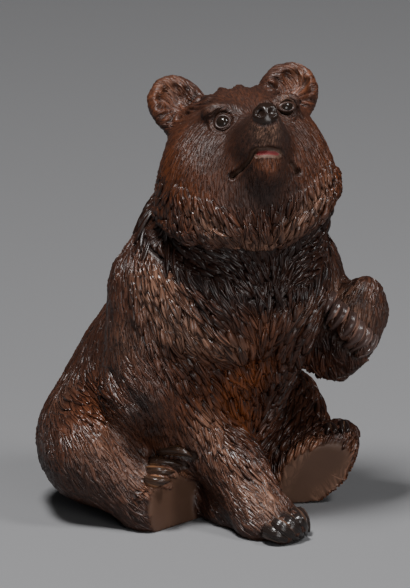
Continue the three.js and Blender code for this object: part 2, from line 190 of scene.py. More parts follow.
def turnFacesOutwards(thing):
    selectOnly(thing)
    bpy.ops.object.mode_set(mode="EDIT")
    bpy.ops.mesh.select_all(action="SELECT")
    bpy.ops.mesh.normals_make_consistent(inside=False)
    bpy.ops.object.mode_set(mode="OBJECT")


# Saws a piece flat at the joint, after its rounded rim is pulled past the plane.
# side is 1 for the jar, which lies below the plane, and -1 for the lid.
sawing = {"rim": 1.6, "facing": 0.2, "outside": 0.6, "pull": 1.7, "reach": 3.5, "inside": 0.3}


def sawnAtJoint(piece, side):
    way = unit(joint["normal"]) * side
    points, normals = places(piece.data), facing(piece.data)
    rim = ((np.abs(aboveJoint(points)) < sawing["rim"]) & (normals @ way > sawing["facing"])
           & (fromJointAxis(points) > joint["wellRadius"] + sawing["outside"]))
    points[rim] += sawing["pull"] * way
    putPlaces(piece.data, points)
    middles = faceMiddles(piece.data)
    selectFaces(piece, (np.abs(aboveJoint(middles)) < sawing["reach"])
                & (fromJointAxis(middles) > joint["wellRadius"] - sawing["inside"]))
    plane = (np.array(joint["centre"]) - way * joint["gap"] / 2) * mm
    bpy.ops.mesh.bisect(plane_co=plane, plane_no=way, use_fill=True, clear_outer=True)
    bpy.ops.object.mode_set(mode="OBJECT")
    flat = np.abs(aboveJoint(faceMiddles(piece.data)) + side * joint["gap"] / 2) < 0.01
    piece.data.polygons.foreach_set("use_smooth", ~flat)


# A copy of a CAD node's mesh, merged and rounded, with faces small enough to carve. Its plan says how
# small, and where it is plain: 1 on sawn and turned faces, which keep their shape and need few faces.
rounding = {"factor": 0.5, "times": 9, "fillTimes": 60, "levels": 5}


def workedCopy(node, name, side, plan):
    copy = bpy.data.objects.new(name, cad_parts[node].data.copy())
    bpy.context.scene.collection.objects.link(copy)
    selectOnly(copy)
    bpy.ops.object.mode_set(mode="EDIT")
    bpy.ops.mesh.select_all(action="SELECT")
    bpy.ops.mesh.remove_doubles(threshold=0.00001)
    bpy.ops.object.mode_set(mode="OBJECT")
    turnFacesOutwards(copy)
    copy.data.materials.clear()
    applied(copy, "REMESH", mode="VOXEL", voxel_size=plan["voxel"] * mm, use_smooth_shade=True)
    kept = plan["plain"](places(copy.data), facing(copy.data))
    levels = rounding["levels"]
    for level in range(levels):
        inBand = (kept > level / levels) & (kept <= (level + 1) / levels)
        grouped(copy, "thinned", inBand, (level + 1) / levels)
    grouped(copy, "rounded", kept < 0.5)
    applied(copy, "SMOOTH", factor=rounding["factor"], iterations=rounding["times"], vertex_group="rounded")
    if "filled" in plan:
        grouped(copy, "filled", plan["filled"](places(copy.data)))
        applied(copy, "SMOOTH", factor=rounding["factor"], iterations=rounding["fillTimes"],
                vertex_group="filled")
    if "fine" in plan:
        selectFaces(copy, plan["fine"](faceMiddles(copy.data)))
        bpy.ops.mesh.subdivide(number_cuts=1, smoothness=0)
        bpy.ops.object.mode_set(mode="OBJECT")
    sawnAtJoint(copy, side)
    faces = triangleCount(copy.data)
    if faces > plan["most"]:
        applied(copy, "DECIMATE", decimate_type="COLLAPSE", ratio=plan["most"] / faces,
                vertex_group="thinned", vertex_group_factor=1000)
    print(name, "worked copy:", faces, "->", triangleCount(copy.data), "triangles")
    return copy


# A cut lock: how it tapers to its tip, its crown across, its rise from the root, and how locks vary.
cutLock = {
    "taper": (2.2, 0.75), "crown": (2.2, 0.8), "rise": 0.3, "rootHeight": 0.45, "tipDrop": 10,
    "edgeRank": 0.35, "length": (0.8, 1.25), "width": (0.8, 1.2), "height": (0.65, 1.3),
    "turn": 0.1, "bend": 0.012, "marks": 50, "tallest": 1.3,
}
strokeWeight = {"usual": 0.15, "placed": 3}


# The direction of the fur and its lock size at each point, blended from the listed strokes:
# where it is, which way it runs, and the length, width and height of its locks.
def furAt(points, normals, plan):
    strokes = np.array(plan["strokes"], float)
    way, size = plan["usual"](points, normals)
    way, size = unit(way) * strokeWeight["usual"], size * strokeWeight["usual"]
    total = np.full(len(points), strokeWeight["usual"])
    for spot, toward, lockSize in zip(strokes[:, :3], unit(strokes[:, 3:6]), strokes[:, 6:]):
        near = np.exp(-((points - spot) ** 2).sum(1) / plan["reach"] ** 2) * strokeWeight["placed"]
        way += near[:, None] * toward
        size += near[:, None] * lockSize
        total += near
    way -= (way * normals).sum(1)[:, None] * normals
    return unit(way), size / total[:, None]


def crowded(point, gap, key, taken, points):  # whether a lock already stands closer than the gap
    for cell in itertools.product(*[(k - 1, k, k + 1) for k in key]):
        for other in taken.get(cell, ()):
            dx, dy, dz = point - points[other]
            if dx * dx + dy * dy + dz * dz < gap * gap:
                return True
    return False


# Roots of locks over a surface, no two closer than their own size asks.
def scatteredLocks(points, normals, way, size, wanted, plan):
    chance = np.random.default_rng(plan["seed"])
    order = chance.permutation(np.nonzero(wanted)[0])
    gaps = plan["apart"] * np.sqrt(size[:, 0] * size[:, 1])
    cell = 4.0
    keys = np.floor(points / cell).astype(int)
    taken, chosen = {}, []
    for i in order:
        key = tuple(keys[i])
        if not crowded(points[i], gaps[i], key, taken, points):
            taken.setdefault(key, []).append(i)
            chosen.append(i)
    chosen = np.array(chosen)
    count = len(chosen)
    turned = chance.normal(0, cutLock["turn"], count)
    side = np.cross(normals[chosen], way[chosen])
    run = unit(way[chosen] + turned[:, None] * side)
    return {
        "root": points[chosen] - run * size[chosen, :1] * 0.5,
        "middle": points[chosen],
        "run": run,
        "side": unit(np.cross(normals[chosen], run)),
        "length": size[chosen, 0] * chance.uniform(*cutLock["length"], count),
        "width": size[chosen, 1] * chance.uniform(*cutLock["width"], count),
        "height": size[chosen, 2] * chance.uniform(*cutLock["height"], count),
        "bend": chance.normal(0, cutLock["bend"], count),
        "mark": chance.uniform(0, cutLock["marks"], count),
    }


def nearestLocks(points, locks, count):
    tree = kdtree.KDTree(len(locks["middle"]))
    for i, point in enumerate(locks["middle"]):
        tree.insert(point, i)
    tree.balance()
    return np.array([[hit[1] for hit in tree.find_n(point, count)] for point in points])


def inLock(points, locks, which):  # how far points are along and across their locks
    rel = points - locks["root"][which]
    along = (rel * locks["run"][which]).sum(-1)
    return along, (rel * locks["side"][which]).sum(-1) - locks["bend"][which] * along ** 2


def tapered(share):
    power, root = cutLock["taper"]
    return (1 - share ** power) ** root


# For each point the lock on top of it: its height there, how near the point is to its edge, which
# lock it is, and whether there is one at all.
def topLock(points, locks, near):
    along, across = inLock(points[:, None, :], locks, near)
    share = np.clip(along / locks["length"][near], 0, 1)
    edge = across / (0.5 * locks["width"][near] * tapered(share) + 0.05)
    inside = (share > 0.001) & (share < 0.999) & (np.abs(edge) < 1)
    power, root = cutLock["crown"]
    crown = np.clip(1 - np.abs(edge) ** power, 0, 1)
    low = cutLock["rootHeight"]
    rise = ramp(share, 0, cutLock["rise"]) * (low + (1 - low) * share) * (1 - share ** cutLock["tipDrop"])
    tall = locks["height"][near] * rise
    height = np.where(inside, tall * crown ** root, 0)
    rank = np.where(inside, tall * (cutLock["edgeRank"] + (1 - cutLock["edgeRank"]) * crown), -1)
    top = rank.argmax(1)
    rows = np.arange(len(points))
    covered = rank[rows, top] >= 0
    return (np.where(covered, height[rows, top], 0), np.where(covered, edge[rows, top], 1.0),
            near[rows, top], covered)


# Cuts the fur into a worked copy: locks raise and groove the surface, and each face keeps the
# place of its lock, across and along, for the finer strokes of the finish.
def carveFur(piece, plan):
    mesh = piece.data
    points, normals = places(mesh), facing(mesh)
    fur = plan["fur"](points, normals)
    way, size = furAt(points, normals, plan)
    locks = scatteredLocks(points, normals, way, size, fur > 0.3, plan)
    height, edge, owner, covered = topLock(points, locks, nearestLocks(points, locks, plan["near"]))
    strands = np.cos(edge * math.pi * plan["strands"] + locks["mark"][owner])
    relief = height * (1 + plan["strandDepth"] * strands * covered) - size[:, 2] * plan["sunk"]
    relief *= fur
    middles = faceMiddles(mesh)
    faceOwner = topLock(middles, locks, nearestLocks(middles, locks, plan["near"]))[2]
    counts = np.empty(len(mesh.polygons), int)
    mesh.polygons.foreach_get("loop_total", counts)
    held = np.repeat(faceOwner, counts)
    along, across = inLock(points[cornerVertices(mesh)], locks, held)
    narrow = tapered(np.clip(along / locks["length"][held], 0, 1)) * 0.8 + 0.2
    giveAttribute(mesh, "lockPlace", np.stack([across / narrow, along, locks["mark"][held]], 1))
    giveAttribute(mesh, "high", np.clip(height / np.maximum(size[:, 2], 0.01), 0, cutLock["tallest"]))
    giveAttribute(mesh, "fur", 1 - plan["bare"](points, normals))
    giveAttribute(mesh, "tall", np.clip(size[:, 2] / cutLock["tallest"], 0, 1))
    points = points + normals * (relief + plan["shape"](points, normals))[:, None]
    points[:, 2] = np.maximum(points[:, 2], 0)
    putPlaces(mesh, points)
    print(piece.name, "carved:", len(locks["root"]), "locks")
    return way, size, fur


def pickVertices(thing, test):
    bm = bmesh.from_edit_mesh(thing.data)
    for vertex in bm.verts:
        vertex.select = test(vertex.co)
    bm.select_flush_mode()
    bmesh.update_edit_mesh(thing.data)


# One carved lock or claw as a closed leaf, 1 long, 1 wide and 1 high. Its root is at the origin, and
# its underside sinks into the wood. Rows are how far along, how wide and how high, from root to
# tip, and ridges are the heights across.
lockShape = {
    "rows": ((0, 0.45, 0.05), (0.25, 0.95, 0.7), (0.5, 1.0, 1.0), (0.78, 0.7, 1.0), (1.0, 0.12, 0.6)),
    "ridges": (0.0, 0.9, 0.5, 1.0, 0.05), "sunk": 0.7, "bends": (-0.12, 0.0, 0.12),
}
clawShape = {
    "rows": ((0, 0.75, 0.3), (0.1, 0.95, 0.85), (0.28, 1.0, 1.0), (0.5, 0.9, 1.0), (0.72, 0.68, 0.9),
             (0.89, 0.38, 0.7), (1.0, 0.08, 0.4)),
    "ridges": (0.0, 0.5, 0.78, 1.0, 0.78, 0.5, 0.0), "sunk": 1.2, "bends": (0.0,), "seed": 2,
}


def modelLock(shape, bend):
    rows, ridges, close = shape["rows"], shape["ridges"], 0.01
    bpy.ops.object.select_all(action="DESELECT")
    bpy.ops.mesh.primitive_grid_add(x_subdivisions=len(ridges) - 1, y_subdivisions=len(rows) - 1, size=1,
                                    location=(0, 0.5, -shape["sunk"]))
    lock = bpy.context.object
    bpy.ops.object.transform_apply(location=True)
    bpy.ops.object.mode_set(mode="EDIT")
    bpy.ops.mesh.select_mode(type="VERT")
    bpy.ops.mesh.select_all(action="SELECT")
    bpy.ops.mesh.extrude_region_move(TRANSFORM_OT_translate={"value": (0, 0, shape["sunk"])})
    bpy.ops.mesh.select_all(action="DESELECT")
    bpy.ops.mesh.select_non_manifold()
    bpy.ops.mesh.edge_face_add()
    rowPlaces = [row / (len(rows) - 1) for row in range(len(rows))]
    for y, (along, width, height) in zip(rowPlaces, rows):
        for column, ridge in enumerate(ridges):
            x = column / (len(ridges) - 1) - 0.5
            pickVertices(lock, lambda co: abs(co.x - x) < close and abs(co.y - y) < close and co.z > -0.1)
            bpy.ops.transform.translate(value=(0, 0, ridge * height))
    for y, (along, width, height) in reversed(list(zip(rowPlaces, rows))):
        pickVertices(lock, lambda co: abs(co.y - y) < close)
        bpy.ops.transform.resize(value=(width, 1, 1), center_override=(0, y, 0))
        bpy.ops.transform.translate(value=(bend * along ** 2, along - y, 0))
    bpy.ops.object.mode_set(mode="OBJECT")
    turnFacesOutwards(lock)
    bpy.ops.object.shade_smooth()
    return lock


# Copies of the modelled locks, each on its own bed on a surface: where its root, middle and tip lie,
# which way is outwards there, and its length, width and height. All the copies become one piece.
def laidLocks(name, models, beds, seed, keep=None):
    chance = np.random.default_rng(seed)
    made = []
    for (start, middle, end), outward, (length, width, height) in beds:
        model = models[int(chance.integers(len(models)))]
        x, y, z = places(model.data).T * mm
        spine = (np.outer((1 - y) * (1 - 2 * y), start) + np.outer(4 * y * (1 - y), middle)
                 + np.outer(y * (2 * y - 1), end))
        normal = unit(np.outer(1 - y, outward[0]) + np.outer(y, outward[2]))
        side = unit(np.cross(unit(end - start), normal))
        raised = (z + 0.35 * y * (z > -0.1)) * height  # the tip stands off the wood
        points = spine + side * (x * width)[:, None] + normal * raised[:, None]
        if keep and not keep(points):
            continue
        points[:, 2] = np.maximum(points[:, 2], 0.02)
        mesh = model.data.copy()
        putPlaces(mesh, points)
        corners = cornerVertices(mesh)
        mark = chance.uniform(0, cutLock["marks"])
        giveAttribute(mesh, "lockPlace",
                      np.stack([x[corners] * width * 1.2, y[corners] * length, 0 * x[corners] + mark], 1))
        giveAttribute(mesh, "high", np.clip(z, 0, 1) * (0.5 + 0.5 * y))
        giveAttribute(mesh, "rim", np.abs(x) * 2)
        made.append(bpy.data.objects.new(name, mesh))
        bpy.context.scene.collection.objects.link(made[-1])
    bpy.ops.object.select_all(action="DESELECT")
    for lock in made:
        lock.select_set(True)
    bpy.context.view_layer.objects.active = made[0]
    bpy.ops.object.join()
    piece = bpy.context.object
    for kind in ("fur", "tall"):
        giveAttribute(piece.data, kind, np.ones(len(piece.data.vertices)))
    piece.name = name
    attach(piece, "root")
    print(name, len(made), "pieces laid,", triangleCount(piece.data), "triangles")
    return piece


def skinOf(piece):
    return bvhtree.BVHTree.FromPolygons([vertex.co / mm for vertex in piece.data.vertices],
                                        [tuple(face.vertices) for face in piece.data.polygons])


def onSkin(skin, point):
    place, normal = skin.find_nearest(Vector(point))[:2]
    return np.array(place), np.array(normal)


def bedsOver(skin, locks, factors):  # beds that follow a skin from the locks' roots
    beds = []
    sizes = np.stack([locks["length"], locks["width"], locks["height"]], 1) * factors
    for root, way, length, size in zip(locks["root"], locks["run"], locks["length"], sizes):
        stops = [onSkin(skin, root)]
        for half in range(2):
            place, normal = stops[-1]
            along = unit(way - normal * (way @ normal))
            stops.append(onSkin(skin, place + along * length / 2))
        beds.append(([stop[0] for stop in stops], [stop[1] for stop in stops], size))
    return beds


# How far the plain faces reach, how soft their edges are, and how squarely they face their way.
plainFaces = {"atJoint": (0.9, 0.5), "pastWell": 1.2, "pastDepth": 2, "onFloor": 1.2, "soft": 0.6,
              "facing": (0.5, 0.8)}


def sawnFace(points, normals, side):  # the jar's face at the joint, or with -1 the lid's
    reach, soft = plainFaces["atJoint"]
    toward = side * (normals @ unit(joint["normal"]))
    return ramp(reach - np.abs(aboveJoint(points)), 0, soft) * ramp(toward, *plainFaces["facing"])


def besideJoint(points):  # 1 on the wood within about a millimetre of the joint
    return fade(np.abs(aboveJoint(points)), 0.9, 2.2) * (fromJointAxis(points) > joint["wellRadius"] + 0.6)


def plainBody(points, normals):  # the well, the sawn underside and the face under the lid
    above = aboveJoint(points)
    soft = plainFaces["soft"]
    well = ramp(joint["wellRadius"] + plainFaces["pastWell"] - fromJointAxis(points), 0, soft)
    well = well * (above < 1) * (above > -joint["wellDepth"] - plainFaces["pastDepth"])
    under = ramp(plainFaces["onFloor"] - points[:, 2], 0, soft) * ramp(-normals[:, 2], *plainFaces["facing"])
    return np.maximum.reduce([sawnFace(points, normals, 1), well, under])


def onSole(points, normals, sole):
    rel = points - np.array(sole["point"])
    toward = unit(sole["normal"])
    close = ramp(sole["reach"] - np.linalg.norm(rel, axis=1), 0, 4)
    return ramp(normals @ toward, 0.8, 0.94) * ramp(rel @ toward, -2.5, -1) * close


mostSeen = (-0.512, -0.819, 0.259)
# Claws lie on the wood like long locks. Each has three stops, its root, middle and tip, which are
# met on the wood from one side, or where it is nearest. size is the width and height of a claw, and
# lift and rise are how far its middle and its tip stand off the wood.
claws = {
    "planted": {"from": mostSeen, "size": (8.6, 2.0), "lift": 0.4, "rise": 0.0, "stops": [
        [(-10.1, -74.2, 7.5), (-3.8, -77.6, 4.2), (2.9, -83.3, 0.8)], [(-5.3, -75.8, 10.7),
                                                                       (0.4, -78.6, 6.0),
                                                                       (6.9, -82.2, 0.9)],
        [(0.1, -75.4, 13.4), (5.2, -78.0, 8.1), (10.3, -80.7, 1.0)], [(7.1, -72.9, 14.8),
                                                                      (11.2, -75.3, 9.1),
                                                                      (14.2, -77.3, 1.2)],
        [(13.0, -69.7, 13.7), (15.6, -71.8, 8.5), (16.2, -75.6, 2.2)]]},
    "rightFoot": {"from": mostSeen, "size": (6.4, 2.2), "lift": 0.9, "rise": 0.9, "stops": [
        [(-40.5, -17, 40.8), (-34.8, -26.0, 43.4), (-28.4, -31.7, 40.1)], [(-45.2, -16.1, 36.2),
                                                                           (-38.4, -20.0, 35.8),
                                                                           (-30.9, -26.3, 34.2)],
        [(-49.4, -20.0, 32.4), (-42.7, -22.6, 31.7), (-34.5, -24.3, 30.6)], [(-51.6, -22.6, 29.0),
                                                                             (-46.6, -25.6, 28.0),
                                                                             (-38.6, -26.5, 27.4)]]},
    "leftFoot": {"from": None, "size": (4.2, 1.2), "lift": 0, "rise": -0.3, "stops": [
        [(58, -23.6, 46), (56, -28.6, 46), (54, -33.6, 46)], [(62.3, -25.6, 45.7), (60.3, -30.6, 45.7),
                                                              (58.3, -35.6, 45.7)],
        [(66.7, -27.6, 45.3), (64.7, -32.6, 45.3), (62.7, -37.6, 45.3)], [(71, -29.6, 45), (69, -34.6, 45),
                                                                          (67, -38.6, 44)]]},
    "raised": {"from": mostSeen, "size": (5.6, 2.1), "lift": 0.7, "rise": 0.9, "stops": [
        [(53.6, -41.3, 120.3), (49.7, -42.9, 115.8), (46.5, -43.4, 110.4)], [(54.6, -46.5, 117.0),
                                                                             (51.4, -45.1, 110.6),
                                                                             (48.3, -43.0, 103.3)],
        [(55.4, -50.2, 115.0), (52.8, -49.9, 108.2), (48.8, -45.8, 101.0)], [(57.9, -54.6, 111.3),
                                                                             (55.2, -54.3, 103.4),
                                                                             (49.8, -49.9, 97.8)],
        [(61.1, -57.3, 106.8), (58.6, -56.9, 99.2), (51.8, -52.4, 94.0)], [(65.3, -58.3, 102.3),
                                                                           (62.3, -57.8, 95.8),
                                                                           (55.3, -54.6, 90.9)],
        [(70.2, -57.4, 98.4), (66.9, -57.2, 92.5), (60.6, -55.2, 87.5)]]},
}
usualClawWidth = 7


def farFromClaws(points):
    far = np.full(len(points), 1e9)
    for row in claws.values():
        scale = row["size"][0] / usualClawWidth
        for stops in row["stops"]:
            root, middle, tip = np.array(stops, float)
            far = np.minimum(far, farFromLine(points, [root * 0.6 + middle * 0.4, middle, tip]) / scale)
    return far


def bareBody(points, normals):
    onSoles = [onSole(points, normals, sole) for sole in soles.values()]
    return np.maximum.reduce([plainBody(points, normals), *onSoles, fade(farFromClaws(points), 2.5, 3.4)])


def bodyFur(points, normals):  # 1 where the body is cut as fur, 0 on plain wood and along its edges
    edges = ramp(points[:, 2], 0.4, 2.5) * ramp(-aboveJoint(points), 0.1, 1.0)
    return (1 - bareBody(points, normals)) * edges


# Where no stroke is near, the fur runs down the body and a little outwards, and forward near the floor.
bodyCoat = {"middle": (2, 22, 0), "outwards": 0.15, "low": (60, 40), "forward": 0.5, "size": (12.0, 4.0, 1.0)}


def usualBodyFur(points, normals):
    below, depth = bodyCoat["low"]
    out = unit((points - bodyCoat["middle"]) * [1, 1, 0])
    forward = ramp(below - points[:, 2], 0, depth)[:, None] * np.array([0, -bodyCoat["forward"], 0])
    way = np.array([0, 0, -1.0]) + out * bodyCoat["outwards"] + forward
    return way, np.tile(bodyCoat["size"], (len(points), 1))


# Broad forms under the fur: lines on the body, how far they reach to each side, and how much they
# raise it. Under the claws it is cut down, so that they stand clear of the fur.
bodyForms = [
    ([(-52, -20, 140), (-44, -31, 125), (-39, -35, 114), (-30, -41, 106), (-19, -47, 102), (-8, -52, 104),
      (7, -58, 112), (17, -60, 119)], 8, 2.6),
    ([(-40, -36, 96), (-26, -41, 92), (-14, -43, 88), (0, -44, 88), (12, -48, 97)], 5, -2.4),
    ([(-66, -8, 85), (-59, -28, 71), (-51, -25, 56)], 4, -2.4),
    ([(-22, -34, 57), (-17, -42, 43), (-10, -59, 27)], 8, 0.8),
    ([(48, -7, 54), (36, -12, 35)], 5, -1.2),
]
underClaws = {"depth": 1.0, "edge": (2.2, 3.8)}


def bodyShape(points, normals):
    raised = np.zeros(len(points))
    for line, reach, height in bodyForms:
        raised += height * bump(farFromLine(points, line), reach)
    raised *= (1 - bareBody(points, normals)) * ramp(-aboveJoint(points), 1, 6)
    return raised - underClaws["depth"] * fade(farFromClaws(points), *underClaws["edge"])


bodyPlan = {
    "voxel": 1.13, "most": 190000, "plain": plainBody,
    "fur": bodyFur, "bare": bareBody, "usual": usualBodyFur, "shape": bodyShape,
    "reach": 16, "near": 12, "seed": 7, "apart": 0.44, "strands": 2, "strandDepth": 0.28, "sunk": 0.35,
    "strokes": [
        (-59, -8, 131, -0.1, -0.1, -1, 10, 3.5, 0.9), (-51, -15, 144, -0.3, -0.5, -0.8, 10, 3.5, 0.9),
        (-52, 41, 86, -0.5, -0.1, -0.9, 10, 3.8, 1.0), (-59, -18, 106, -0, -0.2, -1, 10, 3.5, 0.9),
        (-64, -4, 93, -0.2, -0.1, -1, 10, 3.5, 1.0), (-44, -15, 155, -0.3, -0.6, -0.7, 12, 4.1, 1.1),
        (-48, -27, 129, 0.2, -0.3, -1, 13, 4.6, 1.5), (-42, -30, 140, 0.1, -0.5, -0.9, 13, 4.9, 1.6),
        (-39, -35, 118, 0.3, -0.2, -0.9, 14, 4.9, 1.6), (-34, -42, 125, 0.3, -0.4, -0.9, 14, 4.9, 1.6),
        (-26, -49, 121, 0.5, -0.3, -0.8, 14, 4.9, 1.8), (-32, -38, 104, 0.4, 0.1, -0.9, 13, 4.3, 1.5),
        (-23, -44, 102, 0.9, -0.4, -0.3, 16, 4.9, 2.0), (-16, -50, 105, 0.8, -0, -0.7, 16, 4.9, 2.0),
        (-21, -51, 113, 0.7, -0.2, -0.7, 16, 4.9, 1.9), (-11, -55, 109, 0.5, 0.2, -0.8, 14, 4.6, 1.8),
        (-4, -54, 104, 0.1, 0.4, -0.9, 14, 4.6, 1.6), (2, -57, 108, -0.2, 0.4, -0.9, 14, 4.6, 1.8),
        (11, -61, 116, -0.4, 0.3, -0.9, 14, 4.6, 1.8), (23, -61, 126, -0.6, -0, -0.8, 13, 4.6, 1.5),
        (37, -54, 133, -0.6, -0.4, -0.7, 12, 4.3, 1.2), (66, -29, 130, 0.3, -0.1, -1, 12, 4.1, 1.1),
        (15, -64, 139, -0.7, -0.1, -0.7, 12, 4.3, 1.2), (-29, -47, 141, 0.7, -0.7, 0.2, 16, 4.3, 1.1),
        (-10, -61, 136, 0.9, -0.4, -0.3, 13, 4.1, 1.0), (4, -63, 125, -0.6, 0.2, -0.8, 12, 4.1, 1.0),
        (-11, -59, 123, 0.4, 0.1, -0.9, 12, 4.1, 1.1), (4, -39, 77, 0.4, 0.5, -0.8, 13, 4.6, 1.8),
        (-5, -38, 78, 0.4, 0.4, -0.8, 13, 4.6, 1.8), (14, -34, 72, 0.2, 0.5, -0.8, 13, 4.6, 1.8),
        (4, -30, 60, 0.4, 0.4, -0.8, 14, 4.6, 1.8), (17, -25, 56, -0.1, 0.4, -0.9, 14, 4.6, 1.8),
        (29, -22, 59, -0.6, 0, -0.8, 14, 4.6, 1.8), (29, -15, 44, -0.9, -0.3, -0.4, 13, 4.3, 1.5),
        (-1, -30, 56, 0.5, 0, -0.9, 13, 4.3, 1.5), (47, -7, 61, -0.7, -0.7, -0.2, 13, 4.1, 1.4),
        (-18, -39, 87, 0.7, 0.1, -0.7, 12, 4.1, 1.2), (-41, -33, 65, 0.6, 0.2, -0.8, 10, 3.5, 1.0),
        (-24, -33, 61, 0.5, -0.1, -0.9, 12, 4.1, 1.4), (-17, -36, 54, 0.4, -0.4, -0.8, 12, 4.1, 1.5),
        (-12, -44, 45, 0.2, -0.7, -0.7, 12, 4.1, 1.4), (-7, -51, 37, 0.3, -0.6, -0.7, 12, 3.8, 1.2),
        (-4, -61, 28, 0.2, -0.7, -0.6, 12, 3.5, 1.1), (1, -68, 22, 0.3, -0.7, -0.7, 10, 3.2, 1.1),
        (40, -19, 8, 0.6, -0.1, -0.8, 10, 3.2, 1.1), (-19, -44, 34, 0.2, -0.5, -0.8, 10, 3.5, 1.0),
        (-25, -36, 39, 0.2, -0.2, -0.9, 10, 3.5, 0.9), (-17, -31, 14, -0.1, -0.8, -0.6, 10, 3.2, 0.9),
        (-18, -54, 17, 0.1, -0.9, -0.5, 10, 3.2, 1.0), (-15, -66, 12, 0.3, -0.9, -0.4, 10, 3.2, 0.9),
        (-54, -31, 70, 0.2, 0.1, -1, 10, 3.5, 0.9), (-51, -17, 50, 0.4, 0.5, -0.7, 10, 3.5, 0.9),
        (-39, -23, 45, 0.4, 0.3, -0.9, 10, 3.5, 0.9), (-63, -22, 79, 0.5, -0.9, -0.2, 10, 3.5, 1.1),
        (-69, 14, 63, 0.1, -1, -0.1, 12, 4.1, 1.2), (-65, 0, 69, -0.2, -1, 0.1, 12, 4.1, 1.2),
        (-82, 14, 52, -0.4, -0.8, -0.5, 10, 3.5, 1.0), (-76, -3, 49, 0.1, -0.6, -0.8, 10, 3.8, 1.1),
        (-63, -9, 50, 0.3, -0.5, -0.8, 10, 3.8, 1.1), (-59, -17, 35, 0.4, -0.5, -0.8, 10, 3.5, 1.1),
        (-83, 0, 33, 0.3, -0.1, -0.9, 10, 3.5, 1.0), (-70, -11, 24, 0.5, -0.3, -0.8, 10, 3.5, 1.0),
        (-61, -21, 13, 0.5, -0.7, -0.6, 9, 3.2, 0.9), (51, -8, 49, -0.7, -0.4, -0.5, 12, 4.1, 1.2),
        (51, -19, 39, -0.8, -0.4, -0.5, 10, 3.8, 1.2), (38, -14, 32, -0.5, 0.1, -0.9, 10, 3.8, 1.2),
        (21, -30, 29, -0.6, -0.8, 0.1, 10, 3.5, 1.1), (67, -57, 113, -0.4, -0.2, -0.9, 10, 3.5, 1.0),
        (60, -51, 121, -0.7, -0.1, -0.7, 10, 3.5, 1.1), (63, -58, 104, 0.3, -0.1, -0.9, 9, 3.2, 1.0),
        (71, -58, 102, -0.3, 0, -1, 10, 3.5, 1.0), (-31, -45, 140, 0.6, -0.7, -0.4, 13, 3.8, 1.2),
        (-19, -56, 135, 0.7, -0.5, -0.6, 13, 3.8, 1.2), (27, -60, 131, -0.9, -0.4, -0.2, 13, 3.8, 1.2),
        (-36, -39, 146, 0.4, -0.7, -0.6, 13, 3.8, 1.2),
    ],
}
body = workedCopy("bear_body", "carved_body", 1, bodyPlan)
bodyWay, bodySize, bodyCut = carveFur(body, bodyPlan)
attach(body, "root")
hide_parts("bear_body")

bodySkin = skinOf(body)


# How far off a stop is met on the wood, how much a claw leans to the viewer, and how far its root goes in.
clawLaying = {"from": 40, "nearest": 9, "lean": 0.6, "rootBack": 1.2}


def clawBeds(skin, row):
    beds = []
    away = unit(row["from"]) if row["from"] else np.zeros(3)
    for stops in row["stops"]:
        met = []
        for spot in np.array(stops, float):
            if row["from"]:
                start = Vector(spot + away * clawLaying["from"])
                hit = skin.ray_cast(start, Vector(-away), 2 * clawLaying["from"])
            else:
                hit = onSkin(skin, spot)
            close = hit[0] is not None and np.linalg.norm(np.array(hit[0]) - spot) < clawLaying["nearest"]
            met.append((np.array(hit[0]), np.array(hit[1])) if close else (spot, onSkin(skin, spot)[1]))
        (root, rootOut), (middle, middleOut), (tip, tipOut) = met
        out = unit(middleOut + away * clawLaying["lean"])
        back = unit(root - middle) * clawLaying["rootBack"]
        path = [root + back, middle + out * row["lift"], tip + out * row["rise"]]
        size = (np.linalg.norm(tip - root), *row["size"])
        beds.append((path, [unit(rootOut + away * clawLaying["lean"]), out, out], size))
    return beds


clawModels = [modelLock(clawShape, bend) for bend in clawShape["bends"]]
laid = {}
for row in claws:
    laid[row] = laidLocks(row + "_claws", clawModels, clawBeds(bodySkin, claws[row]), clawShape["seed"])
clawMiddles = np.array([stops[1] for row in claws.values() for stops in row["stops"]])

# Locks that stand out of the fur: all over where the strokes ask for tall ones, and in a fringe
# round the edge of each hind sole.
lockModels = [modelLock(lockShape, bend) for bend in lockShape["bends"]]
bodyLocks = {
    "apart": 0.6, "least": 1.12, "seed": 3, "size": (1.05, 0.9, 1.05), "layingSeed": 5,
    "offClaws": 12, "offFloor": 3,
}
fringe = {
    "left": [(36, -17.6, 10.9), (39.2, -21.5, 21.3), (43, -25.5, 30.5), (47.1, -28.9, 36.7),
             (51.4, -32.2, 42.4), (55.8, -35.1, 45.7), (60.5, -37.7, 47.3),
             (66.7, -39.8, 44.2), (72, -40.5, 36.4), (72, -38.4, 27.6), (68.6, -34.8, 19),
             (62.2, -29.9, 11.1), (55.7, -25.3, 4.3)],
    "right": [(-59.2, -31.1, 22.2), (-58.2, -30.6, 25.4), (-45.5, -26.2, 27.2), (-32.6, -21.6, 29.3),
              (-19.7, -17, 30.8), (-12, -14.5, 31.5)],
    "step": 1.7, "size": (4.2, 1.7, 0.5), "uneven": 0.25, "outside": 4, "tipOff": 0.4,
}


def fringeBeds(skin, edge, sole):
    out = unit(sole["normal"])
    middle = np.mean(edge, axis=0)
    beds = []
    for k, spot in enumerate(alongLine(edge, fringe["step"])):
        aside = unit((spot - middle) - out * ((spot - middle) @ out))
        length = fringe["size"][0] * (1 + fringe["uneven"] * math.sin(k * 2.4))
        start = spot + aside * fringe["outside"]
        root, half, tip = [onSkin(skin, start - out * back) for back in (length, length / 2, 1.0)]
        path = [root[0], half[0], tip[0] + out * fringe["tipOff"]]
        beds.append((path, [root[1], half[1], half[1]], (length, *fringe["size"][1:])))
    return beds


